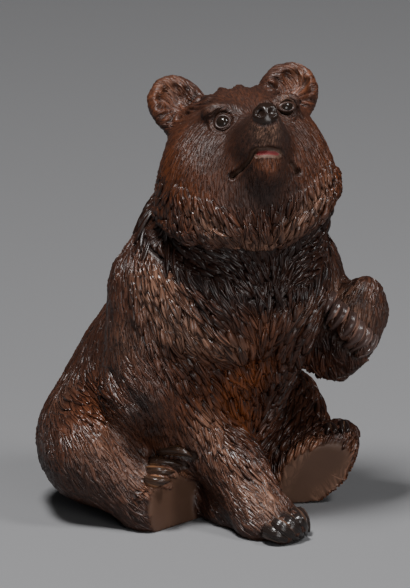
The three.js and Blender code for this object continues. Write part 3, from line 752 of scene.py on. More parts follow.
points, normals = places(body.data), facing(body.data)
wanted = (bodySize[:, 2] > bodyLocks["least"]) & (bodyCut > 0.9) & (points[:, 2] > bodyLocks["offFloor"])
for middle in clawMiddles:
    wanted &= np.linalg.norm(points - middle, axis=1) > bodyLocks["offClaws"]
tall = scatteredLocks(points, normals, bodyWay, bodySize, wanted, bodyLocks)
beds = bedsOver(bodySkin, tall, bodyLocks["size"])
for which in ("left", "right"):
    beds += fringeBeds(bodySkin, np.array(fringe[which]), soles[which])
tallBodyLocks = laidLocks("body_locks", lockModels, beds, bodyLocks["layingSeed"],
                          lambda points: (aboveJoint(points) < -0.3).all() and points[:, 2].min() > 0.2)


# Places in the head's own frame: the lips, the red between them, the groove from nose to lip, and
# the edge of the ruff from the right side under the chin to the left.
mouthLine = [(-16.5, -39.2, -21.7), (-12.4, -42.5, -20), (-9.2, -51.9, -18.4), (-7.4, -56.8, -15.7),
             (-5.4, -59, -15), (0, -60.5, -15.6),
             (4.6, -59.6, -16.4), (7.6, -57.7, -16.7), (10.9, -52.7, -18.3), (15.8, -41.4, -19.7),
             (19, -38.1, -23.5)]
redLine = [(-5.4, -58.2, -16.7), (0.2, -59.6, -17.3), (5.4, -58.4, -18.1)]
lipGroove = [(-0.3, -70, -9), (0, -61.5, -14.5)]
ruffLine = [(-50.5, 11.4, -21.7), (-47.9, 4.3, -31.7), (-44.4, -1.1, -37.9), (-40.4, -5, -42.6),
            (-33.7, -9.4, -47.1), (-23.9, -12.8, -50.6),
            (-13.5, -13.8, -52.7), (-7, -12.8, -54.3), (0.2, -11.5, -55.3), (5.7, -12, -54.5),
            (12.5, -12.8, -52.8), (19.9, -14, -50.1),
            (26.8, -15.9, -46.5), (33, -16.6, -41.8), (38.8, -14.7, -35.7), (44, -8, -27), (47, 0, -16)]
nosePad = {
    "middle": (-0.2, -71.8, 0.9), "radii": (7.6, 6.5, 6.4), "slit": (3.2, 2, -1.2),
    "nostrils": [(-4.3, -73.5, 1.4), (3.9, -74.6, 0.2)], "nostrilRadii": (1.1, 1, 1.2),
}
ears = {"middles": [(-28.5, 0, 36), (31.5, 0, 36)], "grooves": 13, "depth": 0.9}
# How far from its line each ridge or cut of the face lies, how wide it is, and how much it raises
# the wood. The first four run round the eyes.
faceCuts = {
    "brow": (7.4, 1.2, 0.5), "underBrow": (6.0, 0.7, -0.3),
    "fold": (7.2, 0.9, 0.5), "underFold": (9, 0.9, -0.5),
    "lip": (2.4, 1.1, 0.7), "mouth": (0, 0.9, -2.2), "mouthCorner": (0, 2.0, -1.8),
    "tongue": (0, 1.2, -1.0), "lowerLip": (0, 0.9, 0.8), "lipGroove": (0, 0.8, -0.7),
    "padEdge": (1.12, 0.1, -0.5), "nostril": (0, 1.5, -2.8), "slit": (0, 0.8, -1.2),
}


def eyeTurn(eye):  # an eye's side, up and outward directions, from the wood round it
    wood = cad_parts["bear_head_lid"].data
    woodNormals = facing(wood)
    far = np.linalg.norm(places(wood) - eye, axis=1)
    first = unit(woodNormals[far < 9].mean(axis=0))
    out = unit(woodNormals[(far < 10) & (woodNormals @ first > 0.3)].mean(axis=0))
    side = unit(headTurn[:, 0] - out * (headTurn[:, 0] @ out))
    up = np.cross(out, side)
    return side, up * np.sign(up[2]), out


eyeNodes = ("right_glass_eye", "left_glass_eye")
eyes = [np.mean([np.array(corner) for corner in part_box(node)], axis=0) / mm for node in eyeNodes]
eyeTurns = [eyeTurn(eye) for eye in eyes]


def fromEyes(points):
    return np.minimum.reduce([np.linalg.norm(points - eye, axis=1) for eye in eyes])


def fromNose(local):  # 1 on the edge of the nose pad
    return np.linalg.norm((local - nosePad["middle"]) / nosePad["radii"], axis=1)


def behindRuff(local):  # how far behind the edge of the ruff, and how much it counts there
    line = np.array(ruffLine)
    angle = np.degrees(np.arctan2(local[:, 0], -local[:, 2]))
    edge = np.interp(angle, np.degrees(np.arctan2(line[:, 0], -line[:, 2])), line[:, 1])
    return local[:, 1] - edge, fade(np.abs(angle), 75, 105)


def inEar(local):  # how much a point is inside the hollow of an ear, and where it is between the grooves
    share, wave = np.zeros(len(local)), np.zeros(len(local))
    for middle in ears["middles"]:
        x, y, z = (local - middle).T
        out = np.hypot(x, z + 4)
        inside = ramp(out, 2, 5) * fade(out, 12, 15.5) * (local[:, 2] > 24) * fade(y, 3, 7)
        wave = np.where(inside > share, np.cos(ears["grooves"] * np.arctan2(x, z + 4) + 0.25 * out), wave)
        share = np.maximum(share, inside)
    return share, wave


def plainHead(points, normals):  # the tenon and the face round it
    tenon = ramp(joint["wellRadius"] + 1 - fromJointAxis(points), 0, plainFaces["soft"])
    return np.maximum(sawnFace(points, normals, -1), tenon * (aboveJoint(points) < 0.7))


def bareHead(points, normals):
    local = inHead(points)
    return np.maximum.reduce([
        plainHead(points, normals), fade(fromNose(local), 0.95, 1.15), fade(fromEyes(points), 4.4, 5.2),
        fade(farFromLine(local, mouthLine), 0.8, 1.8) * (local[:, 1] < -30),
        fade(farFromLine(local, redLine), 2.4, 3.2)])


def headFur(points, normals):
    inside = inEar(inHead(points))[0]
    return (1 - bareHead(points, normals)) * ramp(aboveJoint(points), 0.1, 1.0) * (1 - 0.7 * inside)


# Where no stroke is near, the fur runs back over the head and down, with finer locks on the face.
headCoat = {"way": (0, 0.8, -0.6), "size": (9.0, 3.4, 0.9), "faceSize": (5.0, 2.0, 0.35), "face": (20, 50)}


def usualHeadFur(points, normals):
    way = (np.zeros_like(points) + headCoat["way"]) @ headTurn.T
    front = ramp(-inHead(points)[:, 1], *headCoat["face"])[:, None]
    return way, np.array(headCoat["size"]) * (1 - front) + np.array(headCoat["faceSize"]) * front


def ridge(far, at, width, height):
    return height * bump(far - at, width)


lidFlat = {"out": 2.2, "reach": (5.0, 10.0)}


def roundEyes(points):  # a flat for each pair of lids, the brow above it and a fold below
    raised = np.zeros(len(points))
    for eye, (side, up, out) in zip(eyes, eyeTurns):
        rel = points - eye
        far = np.linalg.norm(rel, axis=1)
        above = ramp((rel @ up) / np.maximum(far, 1), 0, 0.6)
        raised -= np.maximum(rel @ out - lidFlat["out"], 0) * fade(far, *lidFlat["reach"])
        raised += above * ridge(far, *faceCuts["brow"]) + ridge(far, *faceCuts["underBrow"])
        raised += (1 - above) * (ridge(far, *faceCuts["fold"]) + ridge(far, *faceCuts["underFold"]))
    return raised


def mouthAndNose(local):
    lips = farFromLine(local, mouthLine)
    opened = fade(np.abs(local[:, 0] - 0.4), 4, 7)  # the lips part in front and show the red of the mouth
    raised = ridge(lips, *faceCuts["lip"]) + ridge(lips, *faceCuts["mouth"])
    raised += opened * bump(lips, faceCuts["mouth"][1])
    raised += ridge(farFromLine(local, redLine), *faceCuts["tongue"])
    raised += ridge(farFromLine(local, np.array(redLine) + [0, 0.8, -2.3]), *faceCuts["lowerLip"])
    raised *= local[:, 1] < -28
    for corner in (mouthLine[0], mouthLine[-1]):
        raised += ridge(np.linalg.norm(local - corner, axis=1), *faceCuts["mouthCorner"])
    pad = fromNose(local)
    raised += ridge(pad, *faceCuts["padEdge"]) - 0.5 * fade(pad, 0.8, 1.3)
    for side, nostril in zip((-1, 1), np.array(nosePad["nostrils"])):
        far = np.linalg.norm((local - nostril) / nosePad["nostrilRadii"], axis=1)
        slit = [nostril, nostril + np.array(nosePad["slit"]) * [side, 1, 1]]
        raised += ridge(far, *faceCuts["nostril"]) + ridge(farFromLine(local, slit), *faceCuts["slit"])
    return raised + ridge(farFromLine(local, lipGroove), *faceCuts["lipGroove"])


ruffForm = {"swell": 1.2, "from": -14, "drop": 2.3, "edge": (-0.5, 1.4), "until": (9, 22)}


def headShape(points, normals):
    local = inHead(points)
    hollow, wave = inEar(local)
    grooves = hollow * ears["depth"] * (wave - 0.4) * (normals @ headTurn[:, 1] < -0.1)
    back, share = behindRuff(local)  # the ruff swells to its edge, and the wood steps down behind it
    step = ramp(back, *ruffForm["edge"])
    swell = ruffForm["swell"] * ramp(back, ruffForm["from"], -1) * (1 - step)
    drop = ruffForm["drop"] * step * fade(back, *ruffForm["until"])
    edge = share * (swell - drop) * ramp(aboveJoint(points), 0.5, 6)
    return roundEyes(points) + mouthAndNose(local) + grooves + edge


def mouthFilled(points):  # the cut of the mouth is filled before the lips are carved
    local = inHead(points)
    return (local[:, 1] < -30) & (farFromLine(local, mouthLine) < 6) & (fromNose(local) > 1.3)


def fineFace(middles):  # the mouth, the nose and round the eyes, where the faces are split once more
    local = inHead(middles)
    byMouth = (local[:, 1] < -30) & (farFromLine(local, mouthLine) < 4.5)
    return byMouth | (fromNose(local) < 1.35) | (fromEyes(middles) < 9.5)


headPlan = {
    "voxel": 0.82, "most": 192000, "plain": plainHead, "fine": fineFace, "filled": mouthFilled,
    "fur": headFur, "bare": bareHead, "usual": usualHeadFur, "shape": headShape,
    "reach": 13, "near": 12, "seed": 11, "apart": 0.4, "strands": 2, "strandDepth": 0.25, "sunk": 0.35,
    "strokes": [
        (-30, -41, 215, -0.5, -0.6, -0.6, 6, 2.0, 0.5), (-39, -42, 204, -0.5, -0.2, -0.9, 7, 2.2, 0.5),
        (-29, -53, 210, -0.4, -0.5, -0.8, 6, 2.0, 0.4), (-36, -56, 196, -0.2, -0.2, -0.9, 7, 2.2, 0.5),
        (-25, -66, 190, 0.1, -0.2, -1, 7, 2.2, 0.4), (-43, -31, 197, -0.2, 0.4, -0.9, 9, 3.2, 1.0),
        (-42, -22, 181, 0.3, 0.7, -0.7, 10, 3.8, 1.3), (-43, -49, 182, 0.2, -0.3, -0.9, 10, 4.2, 1.7),
        (-36, -58, 176, 0.5, -0.2, -0.8, 12, 4.2, 1.8), (-26, -63, 171, 0.7, -0, -0.7, 12, 4.2, 1.8),
        (-14, -67, 166, 0.8, 0, -0.6, 12, 4.2, 1.8), (-7, -68, 164, 0.3, 0.3, -0.9, 12, 4.0, 1.7),
        (0, -72, 168, -0.3, 0.4, -0.9, 12, 4.2, 1.8), (7, -75, 172, -0.4, 0.4, -0.8, 12, 4.2, 1.8),
        (16, -76, 176, -0.1, 0.3, -1, 12, 4.2, 1.8), (22, -77, 184, 0, 0.1, -1, 10, 4.0, 1.7),
        (32, -71, 195, -0, -0.3, -0.9, 10, 3.8, 1.4), (19, -71, 208, 0.1, -0.5, -0.9, 7, 2.2, 0.5),
        (33, -62, 209, 0, -0.6, -0.8, 7, 2.5, 0.7), (11, -78, 192, 0.1, -0.1, -1, 7, 2.2, 0.5),
        (-17, -72, 191, 0.1, 0.2, -1, 7, 2.2, 0.4), (-10, -75, 188, 0.1, 0.3, -0.9, 7, 2.2, 0.5),
        (-12, -85, 211, 0.1, -0.2, -1, 7, 2.5, 0.9), (-1, -36, 233, 0.3, 0.9, 0.2, 5, 1.8, 0.4),
        (-17, -28, 231, 0.3, 0.9, -0.2, 5, 1.9, 0.5), (-21, -17, 222, -0.8, -0.2, -0.6, 6, 2.1, 0.5),
        (-24, -42, 219, -0.8, 0.2, -0.5, 5, 1.8, 0.4), (-23, -62, 218, -0.1, 0.7, -0.7, 6, 1.9, 0.3),
        (-23, -66, 207, -0.2, 0.4, -0.9, 6, 2.0, 0.3), (32, -33, 232, 0.6, 0.8, -0.2, 6, 2.1, 0.5),
        (46, -27, 221, 0.8, -0.1, -0.6, 6, 2.1, 0.5), (-19, -84, 225, -0.2, 0.5, -0.8, 3, 1.8, 0.4),
        (-2, -82, 224, 0.6, 0.5, -0.6, 5, 1.8, 0.5), (10, -72, 212, 0.3, -0.3, -0.9, 5, 1.8, 0.5),
        (-14, -85, 222, -0.2, 0.5, -0.9, 3, 1.8, 0.4), (-20, -6, 222, 0.2, 1, -0, 8, 2.5, 0.8),
        (-26, -11, 217, -0.1, 1, -0.3, 8, 2.5, 0.8), (-14, 7, 227, -0.3, 0.5, 0.8, 8, 2.5, 0.8),
        (-29, 6, 225, -0.4, 0, -0.9, 8, 2.2, 0.5), (47, -13, 232, -0.3, 0.4, 0.9, 8, 2.5, 0.8),
        (51, -19, 231, 0.5, -0.2, 0.9, 8, 2.5, 0.8), (50, -25, 223, 0.7, -0.6, -0.5, 8, 2.5, 0.8),
        (44, -12, 237, -0.6, 0.4, -0.7, 8, 2.2, 0.5), (-33, -44, 154, 0.6, -0.7, -0.3, 10, 3.2, 1.3),
        (-31, -45, 149, 0.6, -0.7, -0.4, 10, 3.2, 1.3), (-19, -57, 152, 0.8, -0.3, -0.6, 10, 3.5, 1.3),
        (-8, -62, 148, 0.7, -0.2, -0.7, 10, 3.5, 1.3), (-1, -65, 148, 0.1, 0.1, -1, 10, 3.5, 1.3),
        (25, -61, 147, -0.9, -0.4, -0.2, 10, 3.2, 1.3), (33, -56, 139, -0.8, -0.5, -0.1, 10, 3.2, 1.3),
        (9, -65, 143, -0.7, 0, -0.7, 10, 3.2, 1.3),
    ],
}
head = workedCopy("bear_head_lid", "carved_head_lid", -1, headPlan)
headWay, headSize, headCut = carveFur(head, headPlan)
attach(head, "root")
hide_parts("bear_head_lid")

# The ruff: rows of locks with their tips on its edge, each row further forward than the last, and
# tall locks all over where the strokes ask for them. Rows are how far behind the edge, and the
# length, width and height of the locks.
ruff = {
    "step": 2.7, "rows": ((1.2, 13, 3.6, 1.9), (-4.5, 12, 3.4, 1.7), (-10.5, 11, 3.2, 1.3)),
    "way": (0, 1, -0.5), "fan": (-0.044, 1.2), "stray": (0.5, 0.12), "seed": 8,
}
headLocks = {"apart": 0.62, "least": 1.15, "seed": 4, "size": (1.0, 0.95, 1.0), "layingSeed": 6, "offEdge": 9}


def ruffBeds(skin):
    chance = np.random.default_rng(ruff["seed"])
    fan, most = ruff["fan"]
    stray, strayFan = ruff["stray"]
    beds = []
    for number, (back, length, width, height) in enumerate(ruff["rows"]):
        odd = number % 2  # every other row is set between the locks of its neighbours
        for spot in alongLine(ruffLine, ruff["step"])[odd:]:
            spot = spot + [0, back, 0] + chance.normal(0, stray, 3) + [odd * ruff["step"] / 2, 0, 0]
            aside = np.clip(fan * spot[0], -most, most) + chance.normal(0, strayFan)
            way = unit(headTurn @ (np.array(ruff["way"]) + [aside, 0, 0]))
            long = length * chance.uniform(0.85, 1.2)
            root, half, tip = [onSkin(skin, outOfHead(spot) - way * away) for away in (long, long / 2, 0)]
            size = (long, width * chance.uniform(0.85, 1.15), height * chance.uniform(0.8, 1.2))
            beds.append(([root[0], half[0], tip[0]], [root[1], half[1], half[1]], size))
    return beds


headSkin = skinOf(head)
points, normals = places(head.data), facing(head.data)
offEdge = np.abs(behindRuff(inHead(points))[0] + 6) > headLocks["offEdge"]
wanted = (headSize[:, 2] > headLocks["least"]) & (headCut > 0.9) & offEdge
tall = scatteredLocks(points, normals, headWay, headSize, wanted, headLocks)
beds = bedsOver(headSkin, tall, headLocks["size"]) + ruffBeds(headSkin)
tallHeadLocks = laidLocks("head_locks", lockModels, beds, headLocks["layingSeed"],
                          lambda points: (aboveJoint(points) > 0.3).all())

# The lid's lower fur hangs over the joint and hides it.
neckline = {
    "step": 1.7, "radius": 40, "above": (2, 10), "below": (3, 9), "size": (3.4, 1.2), "uneven": (0.7, 1.2),
    "slant": 0.32, "stray": 0.05, "lift": (0.4, 0.2), "longest": 22, "seed": 9, "layingSeed": 12,
}


def necklineBeds(upper, lower):
    chance = np.random.default_rng(neckline["seed"])
    up = unit(joint["normal"])
    side = unit(np.cross(up, (0, 1, 0)))
    front = np.cross(up, side)
    front = front * -np.sign(front[1])
    beds = []
    for k in range(int(2 * math.pi * neckline["radius"] / neckline["step"])):
        angle = k * neckline["step"] / neckline["radius"]
        top, bottom = chance.uniform(*neckline["above"]), chance.uniform(*neckline["below"])
        slant = neckline["slant"] * math.sin(angle) + chance.normal(0, neckline["stray"])
        between = upper if top > bottom else lower
        stops = []
        for skin, level, turn in ((upper, top, 0), (between, (top - bottom) / 2, 0.5), (lower, -bottom, 1)):
            lean = angle - turn * slant
            away = side * math.sin(lean) + front * math.cos(lean)
            spot = np.array(joint["centre"]) + up * level
            place, normal = skin.ray_cast(Vector(spot + away * 90), Vector(-away), 90)[:2]
            if place:
                stops.append((np.array(place), np.array(normal)))
        if len(stops) < 3 or np.linalg.norm(stops[0][0] - stops[2][0]) > neckline["longest"]:
            continue
        (root, rootOut), (half, halfOut), (tip, tipOut) = stops
        width, height = [value * chance.uniform(*neckline["uneven"]) for value in neckline["size"]]
        halfLift, tipLift = neckline["lift"]
        path = [root, half + halfOut * halfLift, tip + tipOut * tipLift]
        beds.append((path, [rootOut, halfOut, tipOut], (top + bottom, width, height)))
    return beds


necklineLocks = laidLocks("neckline_locks", lockModels, necklineBeds(headSkin, bodySkin),
                          neckline["layingSeed"])
for model in lockModels + clawModels:
    bpy.data.objects.remove(model)

bead = {"radius": 4.38, "segments": 40, "rings": 24}
eyelids = [  # of the right eye and the left, with a painted highlight on the left's lids
    {"major": 3.75, "minor": 0.9, "out": 2.9, "wide": 1.06, "high": 0.9, "bright": 0.0},
    {"major": 3.75, "minor": 1.3, "out": 2.6, "wide": 1.1, "high": 0.58, "bright": 0.55},
]


def modelBead(eye, node):  # a smooth glass bead
    bpy.ops.object.select_all(action="DESELECT")
    bpy.ops.mesh.primitive_uv_sphere_add(segments=bead["segments"], ring_count=bead["rings"],
                                         radius=bead["radius"] * mm)
    made = bpy.context.object
    made.name = node + "_bead"
    bpy.ops.object.shade_smooth()
    putPlaces(made.data, eye + places(made.data))
    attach(made, "root")
    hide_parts(node)
    return made


def modelLids(eye, turn, look):  # a rounded rim of wood round a bead
    bpy.ops.object.select_all(action="DESELECT")
    bpy.ops.mesh.primitive_torus_add(major_segments=40, minor_segments=12,
                                     major_radius=look["major"] * mm, minor_radius=look["minor"] * mm)
    rim = bpy.context.object
    bpy.ops.object.mode_set(mode="EDIT")
    bpy.ops.mesh.select_all(action="SELECT")
    bpy.ops.transform.resize(value=(look["wide"], look["high"], 1), center_override=(0, 0, 0))
    bpy.ops.object.mode_set(mode="OBJECT")
    side, up, out = turn
    x, y, z = places(rim.data).T
    lean = 0.35 * (x / 4) ** 2  # the corners of the lids lie further back
    putPlaces(rim.data, eye + np.outer(x, side) + np.outer(y, up) + np.outer(z + look["out"] - lean, out))
    turnFacesOutwards(rim)
    bpy.ops.object.shade_smooth()
    # the lids' painted highlight, with the fur's cut fainter where it shows
    looks = {"fur": 1 - look["bright"] * 0.4, "high": 0.5, "tall": 0.8, "bright": look["bright"]}
    for name, value in looks.items():
        giveAttribute(rim.data, name, np.full(len(rim.data.vertices), value))
    return rim


beads, rims = [], []
for eye, turn, look, node in zip(eyes, eyeTurns, eyelids, eyeNodes):
    beads.append(modelBead(eye, node))
    rims.append(modelLids(eye, turn, look))
lids, otherLids = rims
selectOnly(lids)
otherLids.select_set(True)
bpy.ops.object.join()
lids.name = "eyelids"
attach(lids, "root")
print("eyes set")


class Value:  # a shader socket that takes part in Python sums
    def __init__(self, socket, tree):
        self.socket, self.tree = socket, tree

    def sum(self, kind, *others):
        node = self.tree.nodes.new("ShaderNodeMath")
        node.operation = kind
        for slot, other in zip(node.inputs, others):
            if isinstance(other, Value):
                self.tree.links.new(other.socket, slot)
            else:
                slot.default_value = other
        return Value(node.outputs[0], self.tree)

    def __add__(self, other):
        return self.sum("ADD", self, other)

    def __radd__(self, other):
        return self.sum("ADD", other, self)

    def __sub__(self, other):
        return self.sum("SUBTRACT", self, other)

    def __rsub__(self, other):
        return self.sum("SUBTRACT", other, self)

    def __mul__(self, other):
        return self.sum("MULTIPLY", self, other)

    def __rmul__(self, other):
        return self.sum("MULTIPLY", other, self)


class Finish:  # a material under construction
    def __init__(self, name):
        self.material = bpy.data.materials.new(name)
        self.material.use_nodes = True
        self.tree = self.material.node_tree
        self.tree.nodes.clear()
        self.output = self.tree.nodes.new("ShaderNodeOutputMaterial")

    # Sockets are given by name, or as i and their number where several have one name.
    def add(self, kind, settings=None, out=0, **sockets):
        node = self.tree.nodes.new("ShaderNode" + kind)
        for name, value in (settings or {}).items():
            setattr(node, name, value)
        for name, value in sockets.items():
            numbered = name[0] == "i" and name[1:].isdigit()
            socket = node.inputs[int(name[1:]) if numbered else name.replace("_", " ")]
            if isinstance(value, Value):
                self.tree.links.new(value.socket, socket)
            else:
                socket.default_value = value
        return Value(node.outputs[out], self.tree)

    def painted(self, name):  # a number that the mesh holds at its vertices
        return self.add("Attribute", {"attribute_name": name}, out=2)

    def onLock(self, scale):  # the place on a lock, stretched along it
        place = self.add("Attribute", {"attribute_name": "lockPlace"}, out=1)
        return self.add("VectorMath", {"operation": "MULTIPLY"}, i0=place, i1=scale)

    def level(self, value, low, high):
        return self.add("MapRange", i0=value, i1=low, i2=high)

    def blend(self, share, first, second):
        return self.add("Mix", {"data_type": "RGBA"}, out=2, i0=share, i6=first, i7=second)

    def surface(self, **sockets):
        shader = self.add("BsdfPrincipled", **sockets)
        self.tree.links.new(shader.socket, self.output.inputs["Surface"])
        return self.material


woodLook = {  # strokes are their scale across and along a lock, and how sharp they are
    "strokes": (((0.36, 0.032, 1.0), 0.13), ((0.7, 0.07, 1.7), 0.13)), "strokeDepth": 0.0009,
    "patches": 55.0, "pores": 1400.0, "poreDepth": 0.0001, "gleam": 0.36,
    # the colour after light is the colour of painted highlights
    "dark": (0.008, 0.0032, 0.0022), "light": (0.08, 0.03, 0.017), "bright": (0.25, 0.135, 0.09),
    "darkWarm": (0.016, 0.005, 0.0025), "lightWarm": (0.2, 0.055, 0.015),
    "plain": (0.068, 0.034, 0.021), "plainLight": (0.1, 0.052, 0.033),
    "black": (0.005, 0.003, 0.0025), "red": (0.11, 0.006, 0.006),
}


def stainedWood(name, look):
    finish = Finish(name)
    tint = {key: (*value, 1) for key, value in look.items() if isinstance(value, tuple) and len(value) == 3}
    fur, tall, high, warm = [finish.painted(kind) for kind in ("fur", "tall", "high", "warm")]
    # two of these masks stand in for light: one darkens for painted shade, one lightens for painted
    # highlights
    deep, bright, black, red = [finish.painted(kind) for kind in ("deep", "bright", "black", "red")]
    strokes = []
    for scale, sharp in look["strokes"]:
        drawn = finish.add("TexNoise", Vector=finish.onLock(scale), Scale=1.0, Detail=1.0, Roughness=0.5)
        off = finish.add("Math", {"operation": "ABSOLUTE"}, i0=drawn - 0.5)
        strokes.append(finish.level(off, 0.0, sharp))
    here = finish.add("TexCoord", out=3)
    patches = finish.add("TexNoise", Vector=here, Scale=look["patches"], Detail=3.0)
    pores = finish.add("TexNoise", Vector=here, Scale=look["pores"], Detail=2.0)
    cut = strokes[0] * 0.8 + strokes[1] * 0.2
    crest = finish.level(high, 0.15, 0.95)
    dark = finish.blend(warm, tint["dark"], tint["darkWarm"])
    light = finish.blend(warm, tint["light"], tint["lightWarm"])
    share = (cut * 0.6 + crest * 0.45) * (patches * 0.7 + 0.6) * (tall * 0.75 + 0.25)
    plain = finish.blend(patches, tint["plain"], tint["plainLight"])
    colour = finish.blend(fur, plain, finish.blend(share, dark, light))
    # painted highlights on the ridges of the cut, where the highlight mask asks
    colour = finish.blend(bright * cut * (crest * 0.7 + 0.3), colour, tint["bright"])
    # painted shade, in the dark stain's colour
    colour = finish.blend(deep * 0.75, colour, tint["dark"])
    colour = finish.blend(black, colour, tint["black"])
    colour = finish.blend(red, colour, tint["red"])
    rough = 0.2 + (1 - share) * 0.12 + patches * 0.1 + (1 - fur) * 0.14 + (1 - tall) * 0.28 - bright * 0.06
    rough = rough - black * (rough - 0.22)
    lift = cut * fur * (tall * 0.6 + 0.4)
    cuts = finish.add("Bump", Strength=1.0, Distance=look["strokeDepth"], Height=lift)
    fine = finish.add("Bump", Strength=0.2, Distance=look["poreDepth"], Height=pores, Normal=cuts)
    return finish.surface(Base_Color=colour, Roughness=rough, Normal=fine, Specular_IOR_Level=look["gleam"])


clawLooks = {
    "planted": {"dark": (0.006, 0.005, 0.005), "light": (0.024, 0.016, 0.013), "edge": (0.11, 0.06, 0.04)},
    "rightFoot": {"dark": (0.008, 0.005, 0.004), "light": (0.06, 0.03, 0.018), "edge": (0.28, 0.13, 0.06)},
    "leftFoot": {"dark": (0.006, 0.004, 0.004), "light": (0.03, 0.016, 0.012), "edge": (0.14, 0.07, 0.035)},
    "raised": {"dark": (0.025, 0.014, 0.012), "light": (0.1, 0.06, 0.05), "edge": (0.36, 0.2, 0.15)},
}
hornGrain = {"scale": (0.9, 0.09, 1.0), "depth": 0.0006, "gleam": 0.35}


def horn(name, look):  # dark, with a lighter edge along both sides of each claw
    finish = Finish(name)
    tint = {key: (*value, 1) for key, value in look.items()}
    grain = finish.add("TexNoise", Vector=finish.onLock(hornGrain["scale"]), Scale=1.0, Detail=2.0)
    edge = finish.level(finish.painted("rim") + (grain - 0.5) * 0.9, 0.6, 1.05)
    colour = finish.blend(edge * 0.85, finish.blend(grain, tint["dark"], tint["light"]), tint["edge"])
    lines = finish.add("Bump", Strength=0.8, Distance=hornGrain["depth"], Height=grain)
    return finish.surface(Base_Color=colour, Roughness=0.24 + edge * 0.1, Normal=lines,
                          Specular_IOR_Level=hornGrain["gleam"])


def glassEye(name):
    return Finish(name).surface(Base_Color=(0.012, 0.008, 0.006, 1), Roughness=0.1, Specular_IOR_Level=0.3)


# Places where the stain is warm, where shade is painted and where highlights are painted: where, how far it
# reaches, and how much.
bodyTones = {
    "warm": [((-5, -39, 80), 14, 1), ((-5, -32, 68), 12, 0.9), ((4, -27, 54), 12, 0.9),
             ((7, -44, 86), 10, 0.7), ((-26, -41, 99), 8, 0.5), ((-5, -53, 103), 8, 0.6),
             ((-2, -60, 115), 10, 0.6), ((-66, 2, 63), 14, 0.4), ((48, -35, 83), 10, 0.4),
             ((-28, -33, 71), 10, 0.3), ((-45, -22, 60), 26, 0.3), ((17, -20, 30), 16, 0.6)],
    # painted shade under the head, in the creases by the haunch and the legs, and under the raised paw
    "deep": [((-4, -63, 135), 12, 1), ((3, -64, 129), 10, 0.9), ((44, -12, 52), 6, 0.7),
             ((34, -14, 35), 6, 0.6), ((-59, -28, 71), 10, 0.9), ((-51, -25, 56), 8, 0.8),
             ((-26, -51, 138), 12, 0.6), ((-19, -56, 130), 10, 0.5), ((50, -45, 93), 8, 0.6),
             ((45, -37, 92), 8, 0.7), ((-52, -31, 85), 14, 0.3),
             ((-66, -8, 85), 10, 0.4), ((26, -50, 140), 16, 0.6), ((-14, -41, 88), 6, 0.4)],
    # painted highlights on the mane, the forearms, the raised paw and the haunch
    "bright": [((-48, -26, 136), 11, 1), ((-44, -31, 125), 11, 1), ((-39, -35, 114), 11, 0.9),
               ((-30, -41, 106), 11, 1), ((-19, -47, 102), 9, 0.9), ((-11, -51, 103), 8, 0.6),
               ((-3, -60, 117), 9, 0.4), ((-22, -34, 57), 11, 0.8), ((-17, -42, 43), 10, 0.5),
               ((-10, -59, 27), 12, 0.6), ((-6, -70, 19), 9, 0.8), ((-55, -21, 29), 11, 0.4),
               ((-69, -9, 46), 16, 0.35), ((56, -45, 119), 12, 0.5), ((57, -55, 109), 10, 0.5),
               ((21, -61, 121), 9, 0.5), ((-60, -17, 102), 12, 0.3), ((-70, 33, 62), 10, 0.3)],
}
headTones = {  # warm and the painted shade are in the head's own frame
    "warm": [((-30, -20, -6), 24, 1), ((34, -16, -6), 24, 1), ((-20, -38, -10), 14, 0.8),
             ((20, -38, -12), 14, 0.8), ((0, -55, -24), 8, 0.9), ((-38, 2, 38), 13, 0.7),
             ((38, 2, 38), 13, 0.7), ((0, -25, 20), 14, 0.4)],
    # painted shade under the chin and over both cheeks
    "deep": [((0, -40, -36), 12, 0.5), ((-22, -32, -4), 24, 1), ((24, -30, -6), 24, 0.9)],
    # painted highlights along the ruff, on the muzzle and by the ears
    "bright": [((-40, -54, 180), 6, 0.8), ((-36, -58, 174), 6, 1), ((-29, -61, 170), 6, 1),
               ((-20, -63, 165), 6, 1), ((-12, -66, 162), 6, 1), ((-4, -69, 164), 6, 1),
               ((3, -73, 168), 6, 1), ((10, -76, 174), 6, 1), ((16, -78, 180), 6, 1),
               ((23, -77, 186), 6, 0.9), ((30, -73, 193), 6, 0.8), ((-18, -86, 231), 6, 1.6),
               ((-14, -84, 226), 6, 1.2), ((16, -54, 234), 4, 0.9), ((-20, -46, 221), 4, 0.3),
               ((-22, -41, 231), 4, 0.3), ((49, -13, 233), 7, 0.4), ((-18, 10, 231), 7, 0.4)],
}
keptLight = [((-16, -85, 229), 7, 1)]  # the end of the muzzle, where the painted shade is lifted


def toned(points, marks):
    total = sum(weight * np.exp(-((points - spot) ** 2).sum(1) / reach ** 2) for spot, reach, weight in marks)
    return np.clip(total, 0, 1)


def colourBody(points):
    tones = {name: toned(points, marks) for name, marks in bodyTones.items()}
    # painted shade along the joint, with no painted highlight there
    rimmed = besideJoint(points)
    tones["deep"] = np.maximum(tones["deep"], rimmed * 1.3)
    tones["bright"] = tones["bright"] * (1 - rimmed)
    # round the fringe of each sole: warm stain, a painted highlight and no painted shade
    for which in ("left", "right"):
        close = np.exp(-(farFromLine(points, fringe[which]) / 5.5) ** 4)
        tones["warm"] = np.maximum(tones["warm"], close * 0.9)
        tones["bright"] = np.maximum(tones["bright"], close)
        tones["deep"] = tones["deep"] * (1 - close)
    # painted shade round and under the claws
    tones["deep"] = np.maximum(tones["deep"], fade(farFromClaws(points), 3, 5))
    return tones


